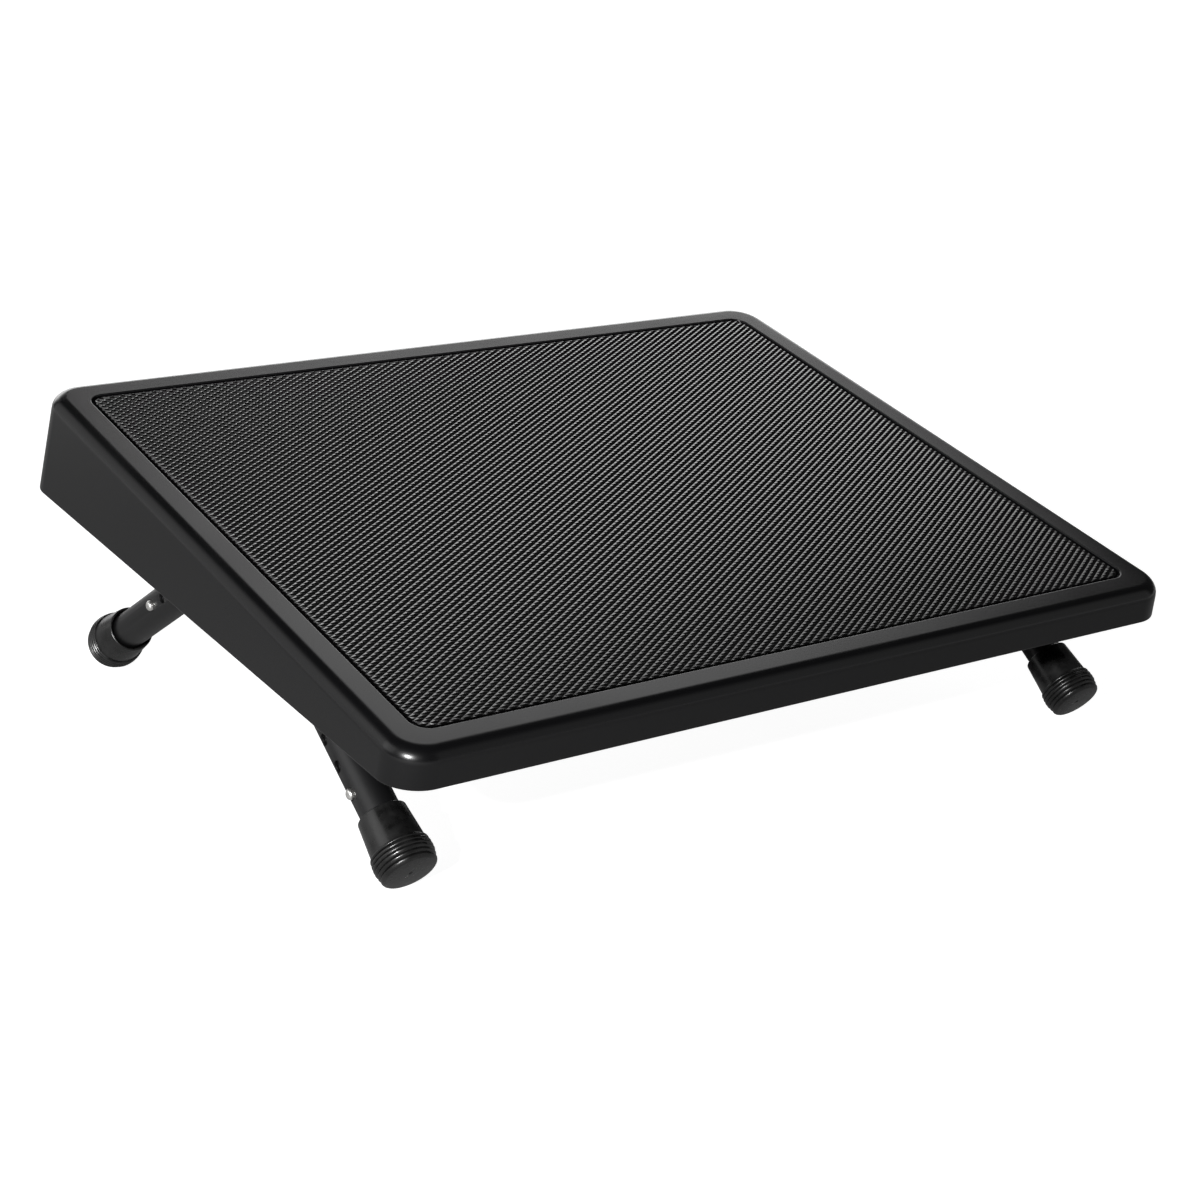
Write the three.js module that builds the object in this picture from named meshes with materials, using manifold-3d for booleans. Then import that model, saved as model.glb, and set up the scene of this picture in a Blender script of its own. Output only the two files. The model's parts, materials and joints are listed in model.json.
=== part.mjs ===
// Tilting under desk footrest: a moulded wedge platform with a rubber tread mat, carried by two bent
// tube leg frames. Each of the four legs has a holed sleeve that slides on the frame tube, a rubber
// boot on its end, and a spring snap button that locks it in one of three holes.
// Millimetres, +Z up, X to the right along the front edge, Y to the back. The origin lies on the
// floor under the middle of the object.

import * as THREE from 'three';
import { mergeVertices } from 'three/addons/utils/BufferGeometryUtils.js';
import Module from 'manifold-3d';

const wasm = await Module();
wasm.setup();

// Gaps and overruns
const SEAT_GAP = 0.3; // between pieces that touch
const CUT_OVERRUN = 5; // how far a cutting shape runs past what it cuts

// Platform, measured on its sloping top
const RECESS_WIDTH = 430;
const RECESS_DEPTH = 338;
const RECESS_CORNER = 9;
const RECESS_FLOOR = 3; // how deep the mat recess is
const BORDER_FLAT = 10.5; // flat ring round the recess
const BORDER_FILLET = 7; // rounding from the flat ring to the wall
const PLAN_CORNER = 19; // corner radius seen from above, at the top of the wall
const WALL_DEPTH_BACK = 56; // from the top down to the rim, at the back
const WALL_DEPTH_FRONT = 18.8;
const WALL_DRAFT = THREE.MathUtils.degToRad(3.5);
const WALL_THICKNESS = 2.8;
const PLATE_THICKNESS = 2.4; // under the recess
const FILLET_STEPS = 4;
const CORNER_STEPS = 6;

// Stiffening ribs under the plate
const RIB_HEIGHT = 8;
const RIB_THICKNESS = 1.8;
const RIBS_LENGTHWAYS = 9;
const RIB_SPREAD_WIDTH = 374; // between the outermost lengthways ribs
const RIBS_ACROSS = 7;
const RIB_SPREAD_DEPTH = 272; // between the outermost crossways ribs

// Tread mat
const MAT_GAP = 1.2; // groove between the mat's edge and the recess
const MAT_THICKNESS = 2.6;
const MAT_CORNER = 11;

// Stance at the lowest setting
const TILT = THREE.MathUtils.degToRad(10.2); // the top's slope to the floor
const LEG_SPLAY = THREE.MathUtils.degToRad(56); // each leg's angle from the vertical

// Leg frames: one bent tube on each side
const FRAME_IN_FROM_WALL = 25.5; // from the side wall's outside, at the top, to the tube's axis
const APEX_BACK = 3.2; // where the two straight axes would meet, behind the middle
const APEX_DOWN = 2.2; // and under the top
const BEND_RADIUS = 64;
const BEND_STEPS = 8;
const FRAME_TUBE_RADIUS = 8;
const FRAME_TUBE_WALL = 1.5;
const TUBE_SIDES = 20;
const FRAME_END_PAST_BUTTON = 12;

// Sleeves
const SLEEVE_RADIUS = 9.5;
const SLEEVE_WALL = 1.2;
const SLEEVE_SIDES = 24;
const HOLE_PITCH = 15;
const HOLE_COUNT = 3;
const HOLE_RADIUS = 2.9;
const HOLE_SIDES = 16;
const SLEEVE_PAST_HOLES = 12; // from the last hole's centre to the sleeve's upper end
const SADDLE_TO_SLEEVE_FRONT = 41.4; // from a saddle's edge to the sleeve's upper end
const SADDLE_TO_SLEEVE_REAR = 3.2;

// Rubber boots
const BOOT_END_PAST_BUTTON = 44.6; // from a front leg's snap button to the boot's end face
const BOOT_LENGTH = 31.1;
const BOOT_FLOOR = 6; // rubber under the sleeve's end
const BOOT_LIP_RADIUS = 11.7;
const BOOT_MOUTH_RADIUS = 10.7;
const BOOT_MOUTH_TAPER = 4;
const BOOT_LIP_ROUND = 0.5;
const BOOT_CONE_RADIUS = 13.6; // where the smooth cone meets the ribs
const BOOT_RIB_PITCH = 2.1;
const BOOT_RIB_GROOVE = 0.7;
const BOOT_RIB_SWELL = 1;
const BOOT_END_ROUND = 1.8;
const BOOT_SIDES = 24;
const RIB_SWELL_SHARES = [0.5, 0.9, 1, 0.9, 0.5, 0];
const RIB_CREST_SHARE = 0.6; // where a rib falls away, over the pitch

// Snap buttons
const BUTTON_RADIUS = 2.6;
const BUTTON_PROUD = 1.9; // how far the dome stands out of the sleeve
const BUTTON_DOME = 1.4;
const BUTTON_FLANGE_RADIUS = 3.6;
const BUTTON_FLANGE_THICKNESS = 0.8;
const BUTTON_SIDES = 16;
const DOME_STEPS = 3;

// Leaf springs behind the buttons
const SPRING_THICKNESS = 0.6;
const SPRING_WIDTH = 6;
const SPRING_PAST_BUTTON = 6;
const SPRING_LENGTH = 30; // from the free end to the outside of the bend
const SPRING_BEND_STEPS = 6;

// Saddles that hold the frame tubes
const SADDLE_PAST_BEND = 0.83; // from the end of the frame's bend to the saddle's edge
const SADDLE_LENGTH = 14;
const SADDLE_HALF_WIDTH = 20;
const SADDLE_THICKNESS = 2.6;
const SADDLE_ARC_STEPS = 10;

// Saddle screws
const SCREW_OFFSET = 15.2; // from the tube's axis
const SCREW_RADIUS = 1.5;
const SCREW_LENGTH = 12; // under the head
const SCREW_TIP = 1.2;
const SCREW_HEAD_RADIUS = 3.5;
const SCREW_HEAD_HEIGHT = 2.3;
const SCREW_HEAD_ROUND = 1;
const SCREW_SLOT_LENGTH = 4;
const SCREW_SLOT_WIDTH = 0.9;
const SCREW_SLOT_DEPTH = 1.2;
const SCREW_SIDES = 12;

// Sizes that follow
const WALL_HALF_WIDTH = RECESS_WIDTH / 2 + BORDER_FLAT + BORDER_FILLET;
const WALL_HALF_DEPTH = RECESS_DEPTH / 2 + BORDER_FLAT + BORDER_FILLET;
const PLATE_UNDERSIDE = RECESS_FLOOR + PLATE_THICKNESS;
const FRAME_BORE_RADIUS = FRAME_TUBE_RADIUS - FRAME_TUBE_WALL;
const SLEEVE_BORE_RADIUS = SLEEVE_RADIUS - SLEEVE_WALL;
const FRONT_ANGLE = LEG_SPLAY + TILT; // each leg's angle from the platform's own downward normal
const REAR_ANGLE = LEG_SPLAY - TILT;
const FRAME_SIDE = WALL_HALF_WIDTH - FRAME_IN_FROM_WALL; // from the middle plane to the tube's axis
const SCREW_HOLE_RADIUS = SCREW_RADIUS + SEAT_GAP;
const TUBE_CLEARANCE_RADIUS = FRAME_TUBE_RADIUS + SEAT_GAP;

// Stations along a leg, from the apex where the two straight axes would meet
const BEND_END = BEND_RADIUS * Math.tan(Math.PI / 2 - LEG_SPLAY);
const SADDLE_STATION = BEND_END + SADDLE_PAST_BEND + SADDLE_LENGTH / 2;
const SADDLE_END = SADDLE_STATION + SADDLE_LENGTH / 2;
const SLEEVE_TOP_TO_BUTTON = SLEEVE_PAST_HOLES + (HOLE_COUNT - 1) * HOLE_PITCH;
const BUTTON_STATION_FRONT = SADDLE_END + SADDLE_TO_SLEEVE_FRONT + SLEEVE_TOP_TO_BUTTON;
const BUTTON_STATION_REAR = SADDLE_END + SADDLE_TO_SLEEVE_REAR + SLEEVE_TOP_TO_BUTTON;
const LEG_LENGTH = BUTTON_STATION_FRONT + BOOT_END_PAST_BUTTON;
const FRONT_END = BUTTON_STATION_FRONT + FRAME_END_PAST_BUTTON;
const REAR_END = BUTTON_STATION_REAR + FRAME_END_PAST_BUTTON;

// The four legs: the outward direction along X, and the direction along Y
const LEGS = [
  { name: 'left_front', out: -1, back: -1, buttonStation: BUTTON_STATION_FRONT },
  { name: 'left_rear', out: -1, back: 1, buttonStation: BUTTON_STATION_REAR },
  { name: 'right_front', out: 1, back: -1, buttonStation: BUTTON_STATION_FRONT },
  { name: 'right_rear', out: 1, back: 1, buttonStation: BUTTON_STATION_REAR },
];

// Materials
const blackPlastic = new THREE.MeshStandardMaterial({ color: 0x1d1d1f, roughness: 0.5, metalness: 0 });
const blackRubber = new THREE.MeshStandardMaterial({ color: 0x151515, roughness: 0.8, metalness: 0 });
const bootRubber = new THREE.MeshStandardMaterial({ color: 0x1a1a1a, roughness: 0.6, metalness: 0 });
const powderCoat = new THREE.MeshStandardMaterial({ color: 0x1c1c1e, roughness: 0.45, metalness: 0.2 });
const brightSteel = new THREE.MeshStandardMaterial({ color: 0xd8d8d6, roughness: 0.25, metalness: 1 });
const springSteel = new THREE.MeshStandardMaterial({ color: 0x8c8c8c, roughness: 0.35, metalness: 1 });
const zincSteel = new THREE.MeshStandardMaterial({ color: 0xb9bcc0, roughness: 0.35, metalness: 1 });

// Solids

// The volume inside a triangle mesh, negative where its faces point inwards
function signedVolume(positions, triangles) {
  const a = new THREE.Vector3();
  const b = new THREE.Vector3();
  const c = new THREE.Vector3();
  let volume = 0;
  for (let i = 0; i < triangles.length; i += 3) {
    a.fromArray(positions, 3 * triangles[i]);
    b.fromArray(positions, 3 * triangles[i + 1]);
    c.fromArray(positions, 3 * triangles[i + 2]);
    volume += a.dot(b.cross(c)) / 6;
  }
  return volume;
}

// A closed geometry as a solid that can be joined and cut, with its faces turned outwards
function solidOf(geometry) {
  const bare = geometry.clone();
  bare.deleteAttribute('normal');
  bare.deleteAttribute('uv');
  const merged = mergeVertices(bare);
  const vertProperties = new Float32Array(merged.attributes.position.array);
  const triVerts = new Uint32Array(merged.index.array);
  if (signedVolume(vertProperties, triVerts) < 0) {
    for (let i = 0; i < triVerts.length; i += 3) {
      [triVerts[i], triVerts[i + 1]] = [triVerts[i + 1], triVerts[i]];
    }
  }
  return new wasm.Manifold(new wasm.Mesh({ numProp: 3, vertProperties, triVerts }));
}

const joinAll = (solids) => solids.reduce((all, next) => all.add(next));
const cutAll = (solid, cutters) => cutters.reduce((left, cutter) => left.subtract(cutter), solid);

// A named mesh from a solid
function piece(name, solid, material) {
  const { vertProperties, triVerts } = solid.getMesh();
  const geometry = new THREE.BufferGeometry();
  geometry.setAttribute('position', new THREE.BufferAttribute(vertProperties, 3));
  geometry.setIndex(new THREE.BufferAttribute(triVerts, 1));
  geometry.computeVertexNormals();
  const mesh = new THREE.Mesh(geometry, material);
  mesh.name = name;
  return mesh;
}

// A closed skin over rings of points, with flat ends. Every ring has as many points as the first.
function loft(rings) {
  const count = rings[0].length;
  const positions = rings.flat().flatMap((point) => [point.x, point.y, point.z]);
  const index = [];
  for (let ring = 0; ring < rings.length - 1; ring += 1) {
    for (let i = 0; i < count; i += 1) {
      const near = ring * count + i;
      const next = ring * count + ((i + 1) % count);
      index.push(near, next, next + count, near, next + count, near + count);
    }
  }
  const last = (rings.length - 1) * count;
  for (let i = 1; i < count - 1; i += 1) {
    index.push(0, i + 1, i);
    index.push(last, last + i, last + i + 1);
  }
  const geometry = new THREE.BufferGeometry();
  geometry.setAttribute('position', new THREE.Float32BufferAttribute(positions, 3));
  geometry.setIndex(index);
  return geometry;
}

// A turned shape along a leg: the profile's points are radius and station, and stations run down -Z
function turned(profile, sides) {
  const points = profile.map(([radius, station]) => new THREE.Vector2(radius, station));
  return new THREE.LatheGeometry(points, sides).rotateX(-Math.PI / 2);
}

// A round bar along a leg between two stations
function bar(radius, from, to, sides) {
  return turned([[0, from], [radius, from], [radius, to], [0, to]], sides);
}

// A round bar that runs out along X from one distance to another, at a station on the leg
function crossBar(radius, from, to, station, sides) {
  return new THREE.CylinderGeometry(radius, radius, to - from, sides)
    .rotateZ(-Math.PI / 2)
    .translate((from + to) / 2, 0, -station);
}

// Points on an arc in a profile, with both ends
function arc(centreA, centreB, radius, fromAngle, toAngle, steps) {
  return Array.from({ length: steps + 1 }, (_, i) => {
    const angle = fromAngle + ((toAngle - fromAngle) * i) / steps;
    return [centreA + radius * Math.cos(angle), centreB + radius * Math.sin(angle)];
  });
}

// Platform

// How deep the wall reaches under the top, at a distance behind the middle
function rimDepth(y) {
  const share = (y + WALL_HALF_DEPTH) / (2 * WALL_HALF_DEPTH);
  return WALL_DEPTH_FRONT + (WALL_DEPTH_BACK - WALL_DEPTH_FRONT) * share;
}

// A rounded rectangle's points, each with its outward direction
function roundedOutline(halfWidth, halfDepth, corner) {
  const points = [];
  [[1, 1], [-1, 1], [-1, -1], [1, -1]].forEach(([sideX, sideY], quarter) => {
    for (let i = 0; i <= CORNER_STEPS; i += 1) {
      const angle = ((quarter + i / CORNER_STEPS) * Math.PI) / 2;
      const out = new THREE.Vector2(Math.cos(angle), Math.sin(angle));
      const x = sideX * (halfWidth - corner) + corner * out.x;
      const y = sideY * (halfDepth - corner) + corner * out.y;
      points.push({ x, y, out });
    }
  });
  return points;
}

// A level ring of the wall's outline, moved in by an inset
function wallRing(inset, z) {
  return roundedOutline(WALL_HALF_WIDTH, WALL_HALF_DEPTH, PLAN_CORNER).map(
    ({ x, y, out }) => new THREE.Vector3(x - out.x * inset, y - out.y * inset, z),
  );
}

// The ring at the sloping rim, or past it, where the draft has moved the wall out
function rimRing(inset, past) {
  return roundedOutline(WALL_HALF_WIDTH, WALL_HALF_DEPTH, PLAN_CORNER).map(({ x, y, out }) => {
    const flare = (rimDepth(y) + past) * Math.tan(WALL_DRAFT) - inset;
    const ringY = y + out.y * flare;
    return new THREE.Vector3(x + out.x * flare, ringY, -rimDepth(ringY) - past);
  });
}

function wedgeSolid() {
  const fillet = Array.from({ length: FILLET_STEPS + 1 }, (_, i) => {
    const angle = (i / FILLET_STEPS) * (Math.PI / 2 - WALL_DRAFT);
    const inset = BORDER_FILLET * (1 - Math.sin(angle));
    return wallRing(inset, -BORDER_FILLET * (1 - Math.cos(angle)));
  });
  return solidOf(loft([...fillet, rimRing(0, 0)]));
}

function cavitySolid() {
  return solidOf(loft([wallRing(WALL_THICKNESS, -PLATE_UNDERSIDE), rimRing(WALL_THICKNESS, CUT_OVERRUN)]));
}

// A flat slab with the outline of a rounded rectangle, from one height to another
function slab(halfWidth, halfDepth, corner, from, to) {
  const outline = roundedOutline(halfWidth, halfDepth, corner);
  return loft([from, to].map((z) => outline.map(({ x, y }) => new THREE.Vector3(x, y, z))));
}

function ribSolids() {
  const top = -PLATE_UNDERSIDE + PLATE_THICKNESS / 2;
  const height = RIB_HEIGHT + PLATE_THICKNESS / 2;
  const length = 2 * WALL_HALF_DEPTH - WALL_THICKNESS;
  const width = 2 * WALL_HALF_WIDTH - WALL_THICKNESS;
  const ribs = [];
  for (let i = 0; i < RIBS_LENGTHWAYS; i += 1) {
    const x = RIB_SPREAD_WIDTH * (i / (RIBS_LENGTHWAYS - 1) - 1 / 2);
    ribs.push(new THREE.BoxGeometry(RIB_THICKNESS, length, height).translate(x, 0, top - height / 2));
  }
  for (let i = 0; i < RIBS_ACROSS; i += 1) {
    const y = RIB_SPREAD_DEPTH * (i / (RIBS_ACROSS - 1) - 1 / 2);
    ribs.push(new THREE.BoxGeometry(width, RIB_THICKNESS, height).translate(0, y, top - height / 2));
  }
  return ribs.map(solidOf);
}

// Legs

const legAngle = (leg) => (leg.back > 0 ? REAR_ANGLE : -FRONT_ANGLE);

// From a leg's own frame, with its apex at the origin and its stations down -Z, to the platform's
function legMatrix(leg) {
  const turn = new THREE.Matrix4().makeRotationX(legAngle(leg));
  return turn.setPosition(leg.out * FRAME_SIDE, APEX_BACK, -APEX_DOWN);
}

// The frame tube's centre line in a side plane, from the front end to the rear end, as points with
// their outward direction across the tube
function frameLine(overrun) {
  const opening = Math.PI - FRONT_ANGLE - REAR_ANGLE; // the turn at the bend
  const front = new THREE.Vector2(-Math.sin(FRONT_ANGLE), -Math.cos(FRONT_ANGLE));
  const rear = new THREE.Vector2(Math.sin(REAR_ANGLE), -Math.cos(REAR_ANGLE));
  const apex = new THREE.Vector2(APEX_BACK, -APEX_DOWN);
  const up = new THREE.Vector2(-front.y, front.x).negate();
  const bendStart = front.clone().multiplyScalar(BEND_END).add(apex);
  const centre = bendStart.clone().addScaledVector(up, -BEND_RADIUS);
  const line = [{ at: front.clone().multiplyScalar(FRONT_END + overrun).add(apex), up }];
  for (let i = 0; i <= BEND_STEPS; i += 1) {
    const away = up.clone().rotateAround(new THREE.Vector2(), (-opening * i) / BEND_STEPS);
    line.push({ at: centre.clone().addScaledVector(away, BEND_RADIUS), up: away });
  }
  const lastUp = line[line.length - 1].up;
  line.push({ at: rear.clone().multiplyScalar(REAR_END + overrun).add(apex), up: lastUp });
  return line;
}

// A round bar along the frame's centre line, on one side of the platform
function frameSweep(out, radius, overrun) {
  const rings = frameLine(overrun).map(({ at, up }) =>
    Array.from({ length: TUBE_SIDES }, (_, i) => {
      const angle = (2 * Math.PI * i) / TUBE_SIDES;
      const rise = radius * Math.sin(angle);
      return new THREE.Vector3(
        out * FRAME_SIDE + radius * Math.cos(angle),
        at.x + up.x * rise,
        at.y + up.y * rise,
      );
    }),
  );
  return solidOf(loft(rings));
}

function legFrame(side, out) {
  const buttonHoles = LEGS.filter((leg) => leg.out === out).map((leg) => {
    const from = leg.out > 0 ? 0 : -SLEEVE_RADIUS;
    const hole = crossBar(HOLE_RADIUS, from, from + SLEEVE_RADIUS, leg.buttonStation, HOLE_SIDES);
    return solidOf(hole.applyMatrix4(legMatrix(leg)));
  });
  const tube = frameSweep(out, FRAME_TUBE_RADIUS, 0);
  const bore = frameSweep(out, FRAME_BORE_RADIUS, CUT_OVERRUN);
  return piece(`${side}_leg_frame`, cutAll(tube, [bore, ...buttonHoles]), powderCoat);
}

function sleeve(leg) {
  const topEnd = leg.buttonStation - SLEEVE_TOP_TO_BUTTON;
  const lowEnd = LEG_LENGTH - BOOT_FLOOR - SEAT_GAP;
  const tube = solidOf(bar(SLEEVE_RADIUS, topEnd, lowEnd, SLEEVE_SIDES));
  const bore = bar(SLEEVE_BORE_RADIUS, topEnd - CUT_OVERRUN, lowEnd + CUT_OVERRUN, SLEEVE_SIDES);
  const reach = SLEEVE_RADIUS + CUT_OVERRUN;
  const holes = Array.from({ length: HOLE_COUNT }, (_, i) => {
    const from = leg.out > 0 ? 0 : -reach;
    return solidOf(crossBar(HOLE_RADIUS, from, from + reach, leg.buttonStation - i * HOLE_PITCH, HOLE_SIDES));
  });
  return piece(`${leg.name}_sleeve`, cutAll(tube, [solidOf(bore), ...holes]), powderCoat);
}

// The boot's outside, from its lip to its end face, as radius and station
function bootOutside() {
  const lip = LEG_LENGTH - BOOT_LENGTH;
  const ribsStart = LEG_LENGTH - BOOT_END_ROUND - RIB_SWELL_SHARES.length * BOOT_RIB_PITCH;
  const outside = [[BOOT_LIP_RADIUS - BOOT_LIP_ROUND, lip], [BOOT_LIP_RADIUS, lip + BOOT_LIP_ROUND]];
  outside.push([BOOT_CONE_RADIUS, ribsStart]);
  RIB_SWELL_SHARES.forEach((share, i) => {
    const crest = BOOT_CONE_RADIUS + BOOT_RIB_SWELL * share;
    const start = ribsStart + i * BOOT_RIB_PITCH;
    const end = start + RIB_CREST_SHARE * BOOT_RIB_PITCH;
    outside.push([crest, end], [crest - BOOT_RIB_GROOVE, start + BOOT_RIB_PITCH]);
  });
  const endRadius = BOOT_CONE_RADIUS - BOOT_END_ROUND;
  outside.push([BOOT_CONE_RADIUS, LEG_LENGTH - BOOT_END_ROUND]);
  outside.push([endRadius + BOOT_END_ROUND * Math.SQRT1_2, LEG_LENGTH - BOOT_END_ROUND * (1 - Math.SQRT1_2)]);
  outside.push([endRadius, LEG_LENGTH]);
  return outside;
}

function boot(leg) {
  const lip = LEG_LENGTH - BOOT_LENGTH;
  const bore = SLEEVE_RADIUS + SEAT_GAP;
  const floor = LEG_LENGTH - BOOT_FLOOR;
  const inside = [[0, floor], [bore, floor], [bore, lip + BOOT_MOUTH_TAPER], [BOOT_MOUTH_RADIUS, lip]];
  const profile = [...inside, ...bootOutside(), [0, LEG_LENGTH]];
  return piece(`${leg.name}_boot`, solidOf(turned(profile, BOOT_SIDES)), bootRubber);
}

// How far the flange's top may stand from the axis before it meets the round bore
const FLANGE_TOP = Math.sqrt(FRAME_BORE_RADIUS ** 2 - BUTTON_FLANGE_RADIUS ** 2) - SEAT_GAP;
const FLANGE_FOOT = FLANGE_TOP - BUTTON_FLANGE_THICKNESS;

function snapButton(leg) {
  const top = SLEEVE_RADIUS + BUTTON_PROUD;
  const domeRadius = (BUTTON_RADIUS ** 2 + BUTTON_DOME ** 2) / (2 * BUTTON_DOME);
  const domeHalfAngle = Math.asin(BUTTON_RADIUS / domeRadius);
  const dome = arc(0, top - domeRadius, domeRadius, Math.PI / 2 - domeHalfAngle, Math.PI / 2, DOME_STEPS);
  dome[DOME_STEPS][0] = 0;
  const profile = [[0, FLANGE_FOOT], [BUTTON_FLANGE_RADIUS, FLANGE_FOOT], [BUTTON_FLANGE_RADIUS, FLANGE_TOP]];
  const points = [...profile, [BUTTON_RADIUS, FLANGE_TOP], ...dome];
  const shape = new THREE.LatheGeometry(points.map(([r, h]) => new THREE.Vector2(r, h)), BUTTON_SIDES);
  shape.rotateZ((-leg.out * Math.PI) / 2).translate(0, 0, -leg.buttonStation);
  return piece(`${leg.name}_snap_button`, solidOf(shape), brightSteel);
}

// A leaf bent back on itself inside the tube: one arm under the button, one along the far wall
function buttonSpring(leg) {
  const nearFace = FLANGE_FOOT - SEAT_GAP;
  const farFace = Math.sqrt(FRAME_BORE_RADIUS ** 2 - (SPRING_WIDTH / 2) ** 2) - SEAT_GAP;
  const outer = (nearFace + farFace) / 2;
  const middle = (nearFace - farFace) / 2;
  const freeEnd = -(leg.buttonStation + SPRING_PAST_BUTTON);
  const bendCentre = freeEnd + SPRING_LENGTH - outer;
  const outline = [
    [nearFace, freeEnd],
    ...arc(middle, bendCentre, outer, 0, Math.PI, SPRING_BEND_STEPS),
    [-farFace, freeEnd],
    [-farFace + SPRING_THICKNESS, freeEnd],
    ...arc(middle, bendCentre, outer - SPRING_THICKNESS, Math.PI, 0, SPRING_BEND_STEPS),
    [nearFace - SPRING_THICKNESS, freeEnd],
  ];
  const shape = new THREE.Shape(outline.map(([x, z]) => new THREE.Vector2(leg.out * x, z)));
  const leaf = new THREE.ExtrudeGeometry(shape, { depth: SPRING_WIDTH, bevelEnabled: false, steps: 1 });
  leaf.translate(0, 0, -SPRING_WIDTH / 2).rotateX(Math.PI / 2);
  return piece(`${leg.name}_button_spring`, solidOf(leaf), springSteel);
}

// Saddles. In a leg's own frame the plate lies towards -Y over a front leg and +Y over a rear one.
const upSign = (leg) => leg.back;

// The block under the plate that a saddle is screwed to, cut off level with the tube's axis
function cradleSolid(leg) {
  const along = Math.sin(legAngle(leg));
  const y = APEX_BACK + SADDLE_STATION * along;
  const depth = SADDLE_LENGTH * Math.abs(along);
  const foot = -APEX_DOWN - (SADDLE_STATION + SADDLE_LENGTH) * Math.cos(legAngle(leg));
  const top = -PLATE_UNDERSIDE + PLATE_THICKNESS / 2;
  const block = new THREE.BoxGeometry(2 * SADDLE_HALF_WIDTH, depth, top - foot);
  block.translate(leg.out * FRAME_SIDE, y, (top + foot) / 2);
  const below = new THREE.BoxGeometry(4 * SADDLE_HALF_WIDTH, 4 * SADDLE_HALF_WIDTH, 4 * SADDLE_LENGTH);
  below.translate(0, -upSign(leg) * (2 * SADDLE_HALF_WIDTH - SEAT_GAP / 2), -SADDLE_STATION);
  return solidOf(block).subtract(solidOf(below.applyMatrix4(legMatrix(leg))));
}

function pilotHoles(leg) {
  const depth = SCREW_LENGTH + SEAT_GAP;
  return [-1, 1].map((side) => {
    const hole = new THREE.CylinderGeometry(SCREW_HOLE_RADIUS, SCREW_HOLE_RADIUS, 2 * depth, SCREW_SIDES);
    return solidOf(hole.translate(side * SCREW_OFFSET, 0, -SADDLE_STATION).applyMatrix4(legMatrix(leg)));
  });
}

function saddle(leg) {
  const up = upSign(leg);
  const inner = TUBE_CLEARANCE_RADIUS;
  const outer = inner + SADDLE_THICKNESS;
  const face = SEAT_GAP / 2;
  const earFoot = face + SADDLE_THICKNESS;
  const innerStart = Math.asin(face / inner);
  const outerStart = Math.asin(earFoot / outer);
  const outline = [
    [SADDLE_HALF_WIDTH, -face],
    [SADDLE_HALF_WIDTH, -earFoot],
    ...arc(0, 0, outer, -outerStart, -Math.PI + outerStart, SADDLE_ARC_STEPS),
    [-SADDLE_HALF_WIDTH, -earFoot],
    [-SADDLE_HALF_WIDTH, -face],
    ...arc(0, 0, inner, -Math.PI + innerStart, -innerStart, SADDLE_ARC_STEPS),
  ];
  const shape = new THREE.Shape(outline.map(([x, y]) => new THREE.Vector2(x, up * y)));
  const strap = new THREE.ExtrudeGeometry(shape, { depth: SADDLE_LENGTH, bevelEnabled: false, steps: 1 });
  strap.translate(0, 0, -SADDLE_STATION - SADDLE_LENGTH / 2);
  const holes = [-1, 1].map((side) => {
    const height = 2 * (earFoot + CUT_OVERRUN);
    const hole = new THREE.CylinderGeometry(SCREW_HOLE_RADIUS, SCREW_HOLE_RADIUS, height, SCREW_SIDES);
    return solidOf(hole.translate(side * SCREW_OFFSET, 0, -SADDLE_STATION));
  });
  return piece(`${leg.name}_saddle`, cutAll(solidOf(strap), holes), blackPlastic);
}

// A pan head screw with a cross recess, up through the saddle's ear into its boss
function saddleScrew(leg, side, name) {
  const up = upSign(leg);
  const seat = -(SEAT_GAP / 2 + SADDLE_THICKNESS + SEAT_GAP);
  const headFoot = seat - SCREW_HEAD_HEIGHT;
  const profile = [
    [0, headFoot],
    [SCREW_HEAD_RADIUS - SCREW_HEAD_ROUND, headFoot],
    [SCREW_HEAD_RADIUS, headFoot + SCREW_HEAD_ROUND],
    [SCREW_HEAD_RADIUS, seat],
    [SCREW_RADIUS, seat],
    [SCREW_RADIUS, seat + SCREW_LENGTH - SCREW_TIP],
    [0, seat + SCREW_LENGTH],
  ];
  const body = new THREE.LatheGeometry(profile.map(([r, h]) => new THREE.Vector2(r, up * h)), SCREW_SIDES);
  const slots = [
    new THREE.BoxGeometry(SCREW_SLOT_LENGTH, 2 * SCREW_SLOT_DEPTH, SCREW_SLOT_WIDTH),
    new THREE.BoxGeometry(SCREW_SLOT_WIDTH, 2 * SCREW_SLOT_DEPTH, SCREW_SLOT_LENGTH),
  ].map((slot) => slot.translate(0, up * headFoot, 0));
  const place = (shape) => solidOf(shape.translate(side * leg.out * SCREW_OFFSET, 0, -SADDLE_STATION));
  return piece(name, cutAll(place(body), slots.map(place)), zincSteel);
}

function platformShell() {
  const tubePaths = [-1, 1].map((out) => frameSweep(out, TUBE_CLEARANCE_RADIUS, CUT_OVERRUN));
  const inside = joinAll([...ribSolids(), ...LEGS.map(cradleSolid)]);
  const fitted = cutAll(inside, [...tubePaths, ...LEGS.flatMap(pilotHoles)]);
  const recess = slab(RECESS_WIDTH / 2, RECESS_DEPTH / 2, RECESS_CORNER, -RECESS_FLOOR, CUT_OVERRUN);
  const tray = wedgeSolid().subtract(cavitySolid()).add(fitted).subtract(solidOf(recess));
  return piece('platform_shell', tray, blackPlastic);
}

function treadMat() {
  const foot = -RECESS_FLOOR + SEAT_GAP;
  const halfWidth = RECESS_WIDTH / 2 - MAT_GAP;
  const halfDepth = RECESS_DEPTH / 2 - MAT_GAP;
  const mat = slab(halfWidth, halfDepth, MAT_CORNER, foot, foot + MAT_THICKNESS);
  return piece('tread_mat', solidOf(mat), blackRubber);
}

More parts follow.
